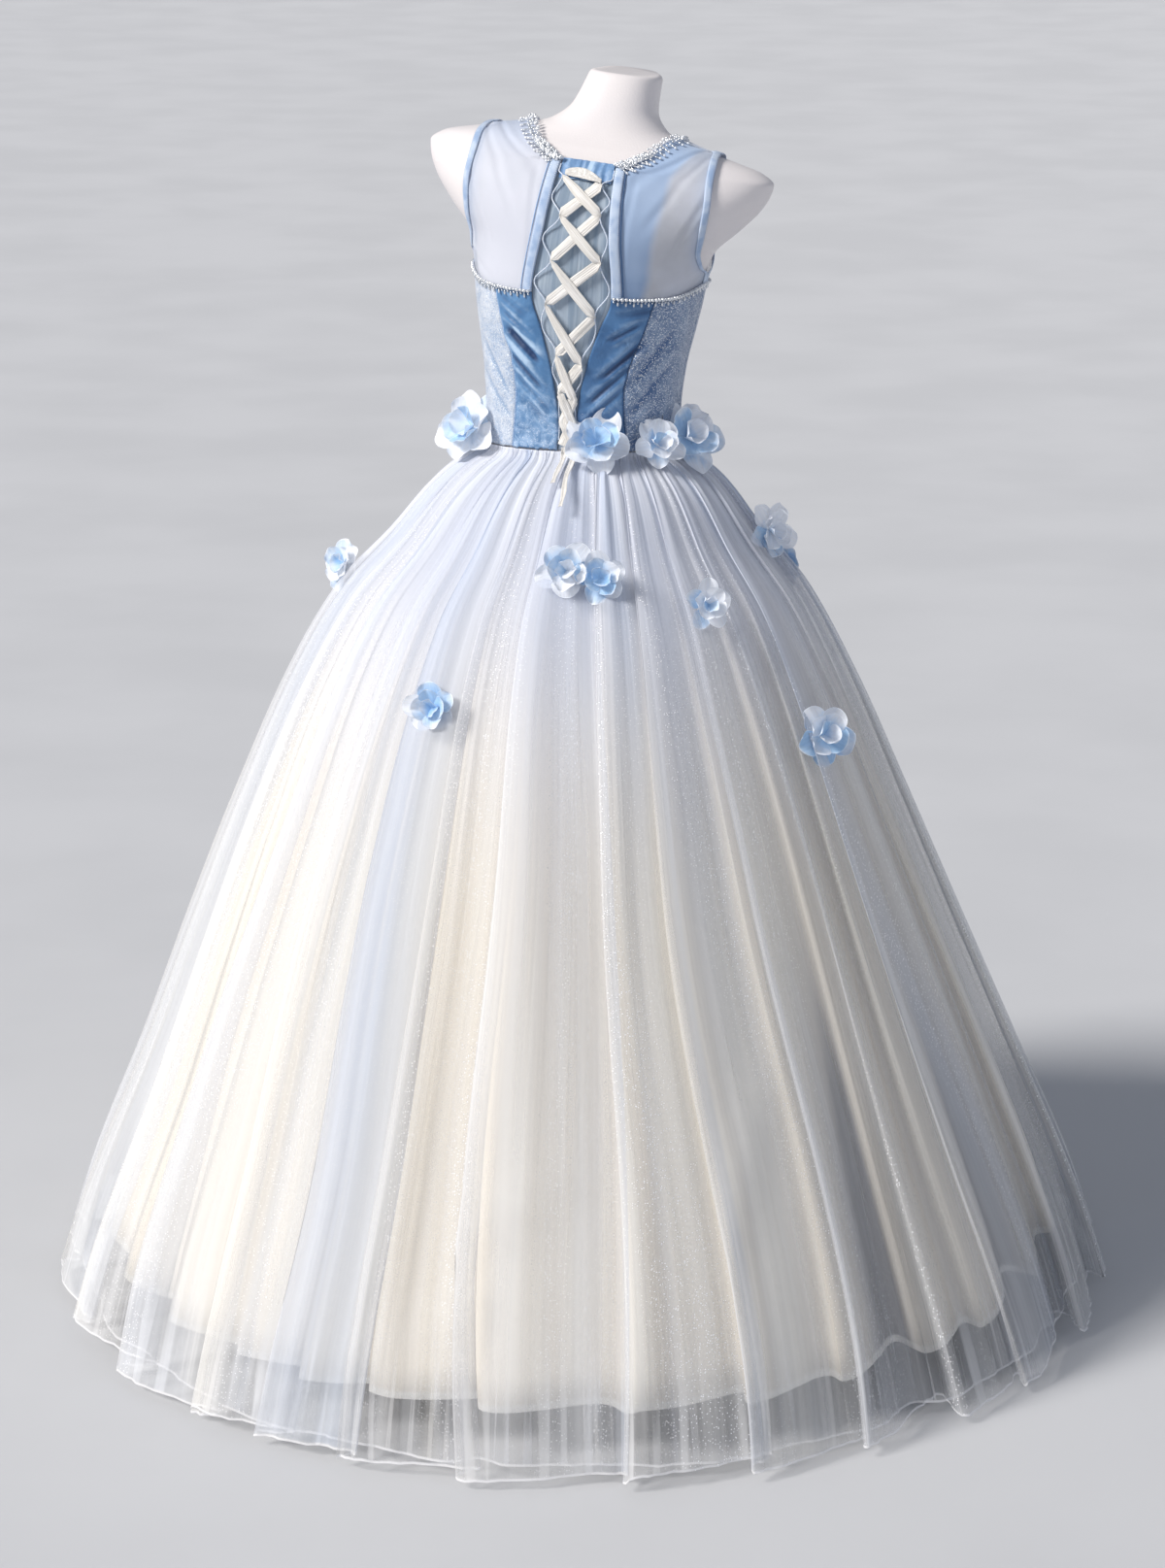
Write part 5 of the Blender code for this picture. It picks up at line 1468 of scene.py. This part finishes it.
def ribbon_place(stops, seed):
    """A strand of ribbon over its stops: flat and creased between the loops, pinched in them."""
    spans = len(stops) - 1

    def place(u, v):
        index = min(int(v * spans + 1e-6), spans - 1)
        share = v * spans - index
        a, b = stops[index], stops[index + 1]
        swell = math.sin(math.pi * share)
        looped = ease(1.085, 1.125, (a if share < 0.5 else b).height)
        flat = max(ease(0.0, 0.28, swell), 1.0 - looped)
        width = mix(RIBBON_PINCH, RIBBON_WIDTH, flat)
        if b.half_width < a.half_width:
            width *= mix(0.52, 0.90, max(ease(0.0, 0.50, share), 1.0 - looped))
        width *= 1.0 + 0.12 * noise.noise(Vector((v * spans * 1.4, seed, 0.0)))
        run = Vector((b.half_width - a.half_width, b.height - a.height))
        if share < 0.01 and index > 0:
            run = Vector((0.0, -1.0))
        roll = (1.0 - flat) * (1.0 if (index + round(share)) % 2 else -1.0)
        side = (u - 0.5) * width
        across = Vector((-run.y, run.x)).normalized() * side * (1.0 - 0.35 * abs(roll))
        x = mix(a.half_width, b.half_width, share) + across.x
        height = mix(a.height, b.height, share) + across.y
        crossing = RIBBON_OVER if b.half_width < a.half_width else RIBBON_UNDER
        at_loop = 0.5 * (RIBBON_OVER + RIBBON_UNDER)
        crease = RIBBON_CREASE * noise.noise(Vector((u * 2.6, v * spans * 0.8, seed + 3.0)))
        crown = RIBBON_CROWN * (1.0 - (2.0 * u - 1.0) ** 2) * flat
        lift = mix(at_loop, crossing, min(1.0, swell * 1.5)) + crease + crown + 0.55 * roll * side
        return posed(on_back(x, height, lift + 0.0005))

    return place


def make_lacing():
    for first_side, word in ((1, "first"), (-1, "second")):
        stops = lace_route(first_side)
        stops.append(Lace(LAST_CROSSING.height, LAST_CROSSING.half_width * first_side - 0.001))
        stops.append(Lace(KNOT.height, KNOT.half_width * first_side - 0.002))
        place = ribbon_place(stops, 11.0 * first_side)
        piece = cloth("lacing_" + word, 10, (len(stops) - 1) * 22, place, ribbon_finish, RIBBON_WALL)
        length = cut_size(place)[1]
        hand_over(piece, "ivory_ribbon", ["lacing_" + word])

    def top_fold(u, v):
        x = mix(TOP_FOLD_LEFT.half_width, TOP_FOLD_RIGHT.half_width, v)
        height = mix(TOP_FOLD_LEFT.height, TOP_FOLD_RIGHT.height, v)
        height += TOP_FOLD_ARCH * math.sin(math.pi * v)
        swell = math.sin(math.pi * min(1.0, v * 1.1)) ** 0.7
        width = mix(0.0045, TOP_FOLD_WIDTH, swell)
        rise = 0.0006 * noise.noise(Vector((u * 2.0, v * 4.0, 9.0)))
        return posed(on_back(x, height + (u - 0.5) * width, RIBBON_UNDER + 0.0002 + rise))

    piece = cloth("lacing_top_fold", 10, 30, top_fold, ribbon_finish, RIBBON_WALL)
    flat = (TOP_FOLD_WIDTH, cut_size(top_fold)[1])
    hand_over(piece, "ivory_ribbon")


def ribbon_end_line(hangs, share):
    """The middle of a free ribbon end, from the knot down over the skirt's gathers."""
    spot = along([(row.x, 0.0, row.height) for row in hangs], share)
    low = skirt_ring(0.0, spot.z, 0.0, 0.0).y + RIBBON_END_LIFT
    high = form_back.at(spot.z) + RIBBON_KNOT_LIFT
    return posed(Vector((spot.x, mix(low, high, ease(WAIST - 0.001, WAIST + 0.005, spot.z)), spot.z)))


def make_ribbon_ends():
    for word, hangs, twist in (("left", RIBBON_END_LEFT, 0.35), ("right", RIBBON_END_RIGHT, 0.5)):

        def place(u, v, hangs=hangs, twist=twist):
            middle = ribbon_end_line(hangs, v)
            turn = twist * math.sin(v * 5.0) - 0.15
            side = (u - 0.5) * RIBBON_END_WIDTH * (1.0 - 0.25 * math.sin(v * 9.0) ** 2)
            curl = 0.0010 * math.cos(2.0 * math.pi * u)
            out = math.sin(turn) * side * 0.5 + curl
            return middle + Vector((math.cos(turn) * side, out, -0.2 * side * v))

        piece = cloth("lacing_end_" + word, 8, 40, place, ribbon_finish, RIBBON_WALL)
        path = [ribbon_end_line(hangs, step / 40) for step in range(41)]
        hand_over(piece, "ivory_ribbon", ["lacing_end_" + word])


# The beaded trims
def bead_shape():
    """One bead's corners and faces, of radius one."""
    mesh = bmesh.new()
    bmesh.ops.create_icosphere(mesh, subdivisions=2, radius=1.0)
    corners = [vertex.co.copy() for vertex in mesh.verts]
    faces = [[vertex.index for vertex in face.verts] for face in mesh.faces]
    mesh.free()
    return corners, faces


def bead_piece(name, beads, finish):
    """Many beads in one piece. Each is a middle, a radius, a direction and how long it is along that."""
    corners, faces = bead_shape()
    points = []
    polygons = []
    for middle, radius, direction, stretch in beads:
        turned = direction.to_track_quat("Z", "Y").to_matrix() @ Matrix.Diagonal((1.0, 1.0, stretch))
        first = len(points)
        points += [middle + turned @ (corner * radius) for corner in corners]
        polygons += [[first + index for index in face] for face in faces]
    data = bpy.data.meshes.new(name)
    data.from_pydata(points, [], polygons)
    data.shade_smooth()
    return new_piece(name, data, finish)


def clustered(line, count, lot):
    """Beads heaped along an edge, four abreast with a fringe. The line gives each place,
    which way is inward and which way is off the cloth."""
    silver = []
    crystal = []
    for index in range(count):
        place, inward, off = line((index + 0.5) / count)
        for row in range(4):
            shift = (row - 0.9) * 0.0030 + lot.uniform(-0.0010, 0.0010)
            rise = lot.uniform(0.0, 0.0022) * (1.0 if row < 3 else 0.4)
            radius = lot.uniform(0.0014, 0.0023)
            middle = place + inward * shift + off * (rise + radius)
            chosen = crystal if lot.random() < 0.45 else silver
            chosen.append((middle, radius, off, 1.0))
        if index % 2 == 0:
            slant = (inward + 0.3 * lot.uniform(-1.0, 1.0) * inward.cross(off)).normalized()
            tip = place + inward * 0.0085 + slant * lot.uniform(0.0015, 0.0035) + off * 0.0014
            silver.append((tip, 0.0011, slant, lot.uniform(2.2, 3.2)))
            crystal.append((tip + slant * 0.0042, 0.0015, slant, 1.2))
    return silver, crystal


def edge_line(place_at, inside_at):
    """Turns two neighbouring lines on the cloth into place, inward and off directions."""

    def line(share):
        place = place_at(share)
        inward = (inside_at(share) - place).normalized()
        ahead = (place_at(min(1.0, share + 0.01)) - place_at(max(0.0, share - 0.01))).normalized()
        off = inward.cross(ahead)
        if off.dot(Vector((place.x, place.y, 0.4 * (place.z - 1.2)))) < 0.0:
            off = -off
        return place, inward, off.normalized()

    return line


def make_neckline_trims():
    lot = random.Random(4)
    for side, word in ((1, "left"), (-1, "right")):

        def edge(share, side=side):
            return posed(yoke_back(0.01, mix(NECKLINE_FROM, 1.0, share), side, PANEL_FACE))

        def inside(share, side=side):
            return posed(yoke_back(0.14, mix(NECKLINE_FROM - 0.04, 1.0, share), side, PANEL_FACE))

        silver, crystal = clustered(edge_line(edge, inside), 30, lot)
        name = "neckline_trim_back_" + word
        hand_over(bead_piece(name, silver, bead_finish), "silver_bead", [name])
        hand_over(bead_piece("neckline_crystals_back_" + word, crystal, crystal_finish), "silver_bead")

    def edge(share):
        return posed(yoke_front(mix(0.142, 0.858, share), 0.985, PANEL_FACE))

    def inside(share):
        return posed(yoke_front(mix(0.142, 0.858, share), 0.90, PANEL_FACE))

    silver, crystal = clustered(edge_line(edge, inside), 96, lot)
    name = "neckline_trim_front"
    hand_over(bead_piece(name, silver, bead_finish), "silver_bead", [name])
    hand_over(bead_piece("neckline_crystals_front", crystal, crystal_finish), "silver_bead")


def make_bust_trims():
    """Round beads along the seam between bodice and yoke, each second one with a drop below it."""
    lot = random.Random(8)
    first = turn_for(0.047, OPENING[-3].height)
    spans = (
        ("bust_trim_back_left", first, 90.0, 34),
        ("bust_trim_back_right", -first, -90.0, 34),
        ("bust_trim_front", 92.0, 268.0, 76),
    )
    for name, start, end, count in spans:
        silver = []
        for index in range(count):
            turn = mix(start, end, (index + 0.5) / count)
            height = bead_line.at(from_back(turn))
            radius = lot.uniform(0.0021, 0.0026)
            middle = posed(round_form(height + 0.0006, turn, PANEL_FACE + radius))
            off = (middle - posed(round_form(height, turn, 0.0))).normalized()
            silver.append((middle, radius, off, 1.0))
            if index % 2:
                drop = posed(round_form(height - 0.0048, turn, PANEL_FACE + 0.0016))
                silver.append((drop, 0.0014, Vector((0.0, 0.0, 1.0)), 2.0))
            else:
                small = posed(round_form(height - 0.0030, turn, PANEL_FACE + 0.0013))
                silver.append((small, 0.0012, off, 1.0))
        hand_over(bead_piece(name, silver, bead_finish), "silver_bead", [name])


# The skirt
def spread(height):
    """How far the skirt has opened, from none at the waist to one at the hem."""
    waist = skirt_half_width.at(WAIST)
    return (skirt_half_width.at(height) - waist) / (skirt_half_width.at(0.0) - waist)


def growth(height):
    """How far the folds have grown, which is faster than the skirt opens."""
    return max(0.0, spread(height)) ** OPENING_POWER


def gathering(opened):
    """The share of the fine gathers below the waist seam."""
    return ease(0.0, 0.10, opened) * ease(0.60, 0.20, opened)


def skirt_ring(turn, height, inset, waist_lift):
    """The skirt's smooth outline, set in by a distance that grows from the waist."""
    angle = math.radians(turn)
    depth = skirt_back if math.cos(angle) > 0 else skirt_front
    x = skirt_aside.at(height) + math.sin(angle) * (skirt_half_width.at(height) - inset)
    y = math.cos(angle) * (depth.at(height) - inset)
    low = Vector((x, y, height))
    near_waist = ease(WAIST - WAIST_BLEND, WAIST - SKIRT_DROP, height)
    if near_waist == 0.0:
        return low
    return mix(low, round_form(height, turn, waist_lift), near_waist)


def skirt_height(v, hem):
    """Heights bunched together towards the waist, where the skirt curves most."""
    return mix(WAIST - SKIRT_DROP, hem, (1.0 - v) ** ROW_BUNCHING)


def ripple(u, height, size, seed):
    """Small uneven folds of the net, drawn out along the skirt."""
    turn = 2.0 * math.pi * u
    around = Vector((math.cos(turn) * size, math.sin(turn) * size, height * 1.2 + seed))
    return noise.noise(around)


def rippled(u, height, row):
    return row.size * ripple(u, height * row.change, row.closeness, row.seed)


def fold_at(u):
    """How far through its fold a share of the way round is, the fold's strength, and its plain angle."""
    position = (u % 1.0) * len(FOLDS)
    index = int(position) % len(FOLDS)
    share = position - int(position)
    start = FOLDS[index]
    end = FOLDS[(index + 1) % len(FOLDS)]
    gap = (end.turn - start.turn) % 360.0
    return share, mix(start.share, end.share, share), start.turn + gap * share


def apart(turn, other):
    """The angle from one turn to another, the short way round."""
    return (turn - other + 180.0) % 360.0 - 180.0


def hollowed(turn, height):
    """How deep the skirt falls in between its folds here."""
    deep = 0.0
    for row in HOLLOWS:
        away = apart(turn, row.turn) / row.half_width
        if abs(away) < 3.0:
            deep += row.depth * math.exp(-away * away) * ease(row.top, 0.12, height)
    return deep


def slack(turn, height):
    """The low ridges of the folds that run aslant."""
    return sum(
        trough(apart(turn, 0.0) * DEGREE_ROUND_HEM, height, slack_line(row)) for row in SLACK_FOLDS
    )


def slack_line(row):
    """A slack fold's ends and size, with its angles as lengths round the hem."""
    start = row.turn0 * DEGREE_ROUND_HEM
    end = row.turn1 * DEGREE_ROUND_HEM
    return start, row.z0, end, row.z1, row.width, row.depth


def by_lot(number, seed):
    """A steady draw from zero to one for each whole number."""
    return random.Random(number % len(FOLDS) * 7 + seed).random()


def panel_rise(u):
    """How far the hem of the panel here hangs above the lowest one, stepping at each turned edge."""
    position = (u % 1.0) * len(FOLDS)
    index = int(position)
    change = ease(0.03, 0.13, position - index)
    return HEM_STEP * mix(by_lot(index - 1, 1), by_lot(index, 1), change)


def wandered(turn, height, opened):
    """The angle of a fold here, as its way down the skirt wanders a little."""
    return turn + FOLD_WANDER * opened * noise.noise(Vector((turn * 0.05, height * 1.7, 3.0)))


def outer_place(u, v):
    """Overlapping folds: each crest leans over the hollow beside it, with finer folds along it."""
    share, strength, turn = fold_at(u)
    hem = HEM_HEIGHT + 0.0005 + panel_rise(u) + 0.0024 * noise.noise(Vector((turn * 0.16, 0.0, 0.0)))
    height = skirt_height(v, hem)
    opened = growth(height)
    depth = FOLD_DEPTH * strength * opened
    wave = math.cos(2 * math.pi * share) * depth
    gather = gathering(opened)
    wave -= GATHER_DEPTH * gather * math.cos(8 * math.pi * share)
    wave += opened * sum(rippled(u, height, row) for row in OUTER_RIPPLES)
    wave += ease(0.13, 0.0, height) * rippled(u, height, OUTER_HEM_RIPPLE)
    wave -= hollowed(turn, height)
    wave += slack(turn, height)
    inset = FOLD_DEPTH * FOLD_REACH * opened + GATHER_DEPTH * gather
    radius = skirt_half_width.at(height) - inset
    lean = math.degrees(FOLD_LEAN * math.cos(2 * math.pi * share) * depth / radius)
    turn = wandered(turn, height, opened) + lean
    lift = WAIST_LIFT + 2 * LAYER_STEP
    return posed(skirt_ring(turn, height, inset, lift) + outward(turn) * wave)


def fold_light_and_shade(u, v):
    """The painted highlight along a fold's turned edge, where the net also looks denser, with more on
    the slack folds' ridges; and the painted shade in the hollows between folds, deepest in the deep
    hollows.
    """
    share, strength, turn = fold_at(u)
    height = skirt_height(v, HEM_HEIGHT)
    opened = growth(height)
    start = mix(0.30, 1.10, by_lot(int((u % 1.0) * len(FOLDS) + 0.5), 2))
    begun = ease(start, start - 0.30, height)
    patchy = 0.75 + 0.9 * noise.noise(Vector((turn * 0.4, height * 5.0, 9.0)))
    turned = math.exp(-((share - 0.085) / 0.016) ** 2) + 0.4 * math.exp(-((share - 0.02) / 0.05) ** 2)
    hollow = ease(0.12, 0.40, share) * ease(0.72, 0.46, share) * strength
    hollow += hollowed(turn, height) / 0.012
    # Painted highlight on the slack folds' ridges
    proud = 0.25 * max(0.0, slack(turn, height) / 0.006)
    return turned * opened * strength * begun * patchy + proud, hollow * opened


def drawn_colour(u, v):
    """How blue the net is, and how much glitter lies on it."""
    _, _, turn = fold_at(u)
    sums = []
    for bands in (BLUE_BANDS, GLITTER_BANDS):
        amount = 0.0
        for row in bands:
            away = apart(turn, mix(row.hem_turn, row.top_turn, v)) / row.half_width
            if abs(away) < 3.0:
                amount += row.amount * math.exp(-away * away)
        sums.append(amount)
    thin = 0.12 + 0.5 * ease(0.0, 0.5, ripple(u, v * 2.0, 30.0, 83.0))
    return sums[0] * (0.8 + 0.5 * ripple(u, v * 1.5, 26.0, 47.0)), min(1.0, sums[1] + thin)


def under_place(u, v):
    """The tulle between the folds and the lining, with its own soft waves."""
    height = skirt_height(v, HEM_HEIGHT + 0.006 + 0.002 * ripple(u, 0.0, 20.0, 31.0))
    turn = 360.0 * (u % 1.0)
    opened = growth(height)
    wave = math.cos(math.radians(turn) * UNDER_WAVES) * UNDER_DEPTH * opened
    wave += opened * rippled(u, height, UNDER_RIPPLE)
    wave += ease(0.2, 0.0, height) * rippled(u, height, UNDER_HEM_RIPPLE)
    wave -= HOLLOW_KEPT * hollowed(turn, height)
    inset = TULLE_SPACE * opened + GATHER_SPACE * gathering(opened)
    return posed(skirt_ring(turn, height, inset, WAIST_LIFT + LAYER_STEP) + outward(turn) * wave)


def lining_place(u, v):
    """The lining follows the folds over it, and falls back between them."""
    share, strength, turn = fold_at(u)
    height = skirt_height(v, LINING_HEM + 0.5 * panel_rise(u) + 0.003 * ripple(u, 0.0, 9.0, 57.0))
    opened = growth(height)
    depth = LINING_DEPTH * strength * opened
    wave = math.cos(2 * math.pi * share) * depth
    wave += opened * rippled(u, height, LINING_RIPPLE)
    wave += ease(0.2, 0.0, height) * rippled(u, height, LINING_HEM_RIPPLE)
    wave -= HOLLOW_KEPT * hollowed(turn, height)
    gathers = GATHER_SPACE + LINING_GATHER_SPACE
    inset = (LINING_SPACE + LINING_DEPTH) * opened + gathers * gathering(opened)
    radius = skirt_half_width.at(height)
    lean = math.degrees(LINING_LEAN * math.cos(2 * math.pi * share) * depth / radius)
    turn = wandered(turn, height, opened) + lean
    return posed(skirt_ring(turn, height, inset, WAIST_LIFT) + outward(turn) * wave)


def skirt_cut(place, columns):
    """A gored skirt layer's cut: hem length by height, with the area of its gores."""
    hem = sum((place((k + 1) / columns, 0.0) - place(k / columns, 0.0)).length for k in range(columns))
    waist = sum((place((k + 1) / columns, 1.0) - place(k / columns, 1.0)).length for k in range(columns))
    run = [place(0.5, step / 40) for step in range(41)]
    length = sum((b - a).length for a, b in zip(run, run[1:]))
    return (hem, length), 0.5 * (hem + waist) * length


def make_skirt():
    layers = (
        ("skirt_tulle_outer", outer_place, 784, 64, outer_finish, "tulle"),
        ("skirt_tulle_under", under_place, 480, 44, under_finish, "tulle"),
        ("skirt_lining", lining_place, 560, 44, lining_finish, "cream_lining"),
    )
    # The folds map carries the painted highlight and painted shade; the drawn map carries the blue and
    # the glitter
    marks = {"folds": fold_light_and_shade, "drawn": drawn_colour}
    for name, place, columns, rows, finish, slot in layers:
        flat, area = skirt_cut(place, columns)
        wall = BODICE_WALL if name == "skirt_lining" else 0.0
        piece = cloth(name, columns, rows, place, finish, wall, size=flat, marks=marks)
        hand_over(piece, slot, [name])


# The flowers
PetalRing = namedtuple("PetalRing", "count reach width tilt curl base")
PETAL_RINGS = (
    PetalRing(5, 1.28, 1.10, 2.0, 0.06, 0.02),
    PetalRing(4, 1.02, 1.02, 24.0, 0.10, 0.05),
    PetalRing(3, 0.70, 0.80, 46.0, 0.08, 0.08),
)
PETAL_ACROSS = 10
PETAL_ALONG = 10
FLOWER_SPREAD = 1.08

# Flowers whose petals are mostly white, or a deeper blue, instead of mixed
WHITE_FLOWERS = ("flower_05", "flower_07", "flower_08", "flower_09")
BLUE_FLOWERS = ("flower_06", "flower_10", "flower_02")
PALE_TONES = ((-0.9, 0.1), (-0.4, 0.5), (-0.9, 0.0), (0.3, 1.3))
BLUE_TONES = ((0.1, 1.1), (0.4, 1.4), (0.6, 1.9), (0.2, 1.2))
MIXED_TONES = ((-0.3, 0.6), (0.1, 1.0), (0.4, 1.4), (-0.6, 0.3), (0.7, 1.9))


def petal_points(ring, size, lot):
    """One round petal in its own space: along X from the middle, rising in Z, a little cupped."""
    points = []
    wave_start = lot.uniform(0.0, 6.3)
    waves = lot.choice((0.8, 1.1, 1.5))
    ruffle = lot.uniform(0.03, 0.08) * size
    tilt = math.radians(ring.tilt + lot.uniform(-9.0, 9.0))
    reach = ring.reach * size * lot.uniform(0.88, 1.08)
    width = ring.width * size * lot.uniform(0.9, 1.1)
    for step in range(PETAL_ALONG + 1):
        s = step / PETAL_ALONG
        ahead = 2.0 * s - 1.0
        half = 0.5 * width * math.sqrt(1.0 - ahead * ahead / 2.0) * mix(0.5, 1.0, ease(0.0, 0.6, s))
        for side in range(PETAL_ACROSS + 1):
            t = 2.0 * side / PETAL_ACROSS - 1.0
            flat = reach * (0.5 + 0.5 * ahead * math.sqrt(1.0 - t * t / 2.0))
            rise = ring.curl * size * s * s + 0.13 * size * t * t * s
            rise += ruffle * s ** 2 * math.sin(wave_start + waves * t * math.pi)
            x = flat * math.cos(tilt) - rise * math.sin(tilt)
            z = flat * math.sin(tilt) + rise * math.cos(tilt) + ring.base * size
            points.append(Vector((x, half * t, z)))
    return points


def flower_mesh(name, size, frame_of, lot, choice):
    """All petals of a flower in one mesh, with each petal's own shades in the tone map."""
    points = []
    faces = []
    shares = []
    tones = []
    row = PETAL_ACROSS + 1
    for ring in PETAL_RINGS:
        tones_here = choice + PALE_TONES if ring is PETAL_RINGS[0] else choice
        start = lot.uniform(0.0, 360.0)
        for index in range(ring.count):
            angle = math.radians(start + 360.0 * index / ring.count + lot.uniform(-8.0, 8.0))
            turned = Matrix.Rotation(angle, 3, "Z")
            first = len(points)
            points += [frame_of(turned @ point) for point in petal_points(ring, size, lot)]
            tone = lot.choice(tones_here)
            for along_step in range(PETAL_ALONG):
                for side in range(PETAL_ACROSS):
                    corner = first + along_step * row + side
                    faces.append((corner, corner + 1, corner + row + 1, corner + row))
                    ends = ((0, 0), (1, 0), (1, 1), (0, 1))
                    shares += [
                        ((side + a) / PETAL_ACROSS, (along_step + b) / PETAL_ALONG) for a, b in ends
                    ]
                    tones += [tone] * 4
    data = bpy.data.meshes.new(name)
    data.from_pydata(points, [], faces)
    for layer, values in (("share", shares), ("cloth", shares), ("tone", tones)):
        made = data.uv_layers.new(name=layer)
        for loop, value in zip(made.data, values):
            loop.uv = value
    data.shade_smooth()
    return data


def make_flowers():
    """A made flower over each plain one, at the same place and facing the same way."""
    names = sorted(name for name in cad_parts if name.startswith("flower_"))
    for number, name in enumerate(names):
        lot = random.Random(100 + number)
        low, high = [Vector(corner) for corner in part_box(name)]
        middle = (low + high) / 2.0
        size = max(high - low) / 2.0 * FLOWER_SPREAD
        turn = math.degrees(math.atan2(middle.x, middle.y))
        facing = outward(mix(-12.0, turn, 0.48) if abs(turn) < 95.0 else turn)
        facing.z = 0.55 if middle.z > 0.98 else 0.25
        facing.normalize()
        seat = middle - facing * size * 0.20
        spin = facing.to_track_quat("Z", "Y").to_matrix()
        blue = BLUE_TONES if name in BLUE_FLOWERS else MIXED_TONES
        choice = PALE_TONES if name in WHITE_FLOWERS else blue
        data = flower_mesh(name + "_petals", size, lambda point: seat + spin @ point, lot, choice)
        piece = new_piece(name + "_petals", data, petal_finish)
        hand_over(piece, "flower_organza", [name])


def main():
    make_camera()
    make_ribbon_ends()
    make_form()
    make_bodice()
    make_piping()
    make_yoke()
    make_bindings()
    make_loops()
    make_modesty()
    make_lacing()
    make_neckline_trims()
    make_bust_trims()
    make_skirt()
    make_flowers()
    make_floor()
    make_lights()


main()
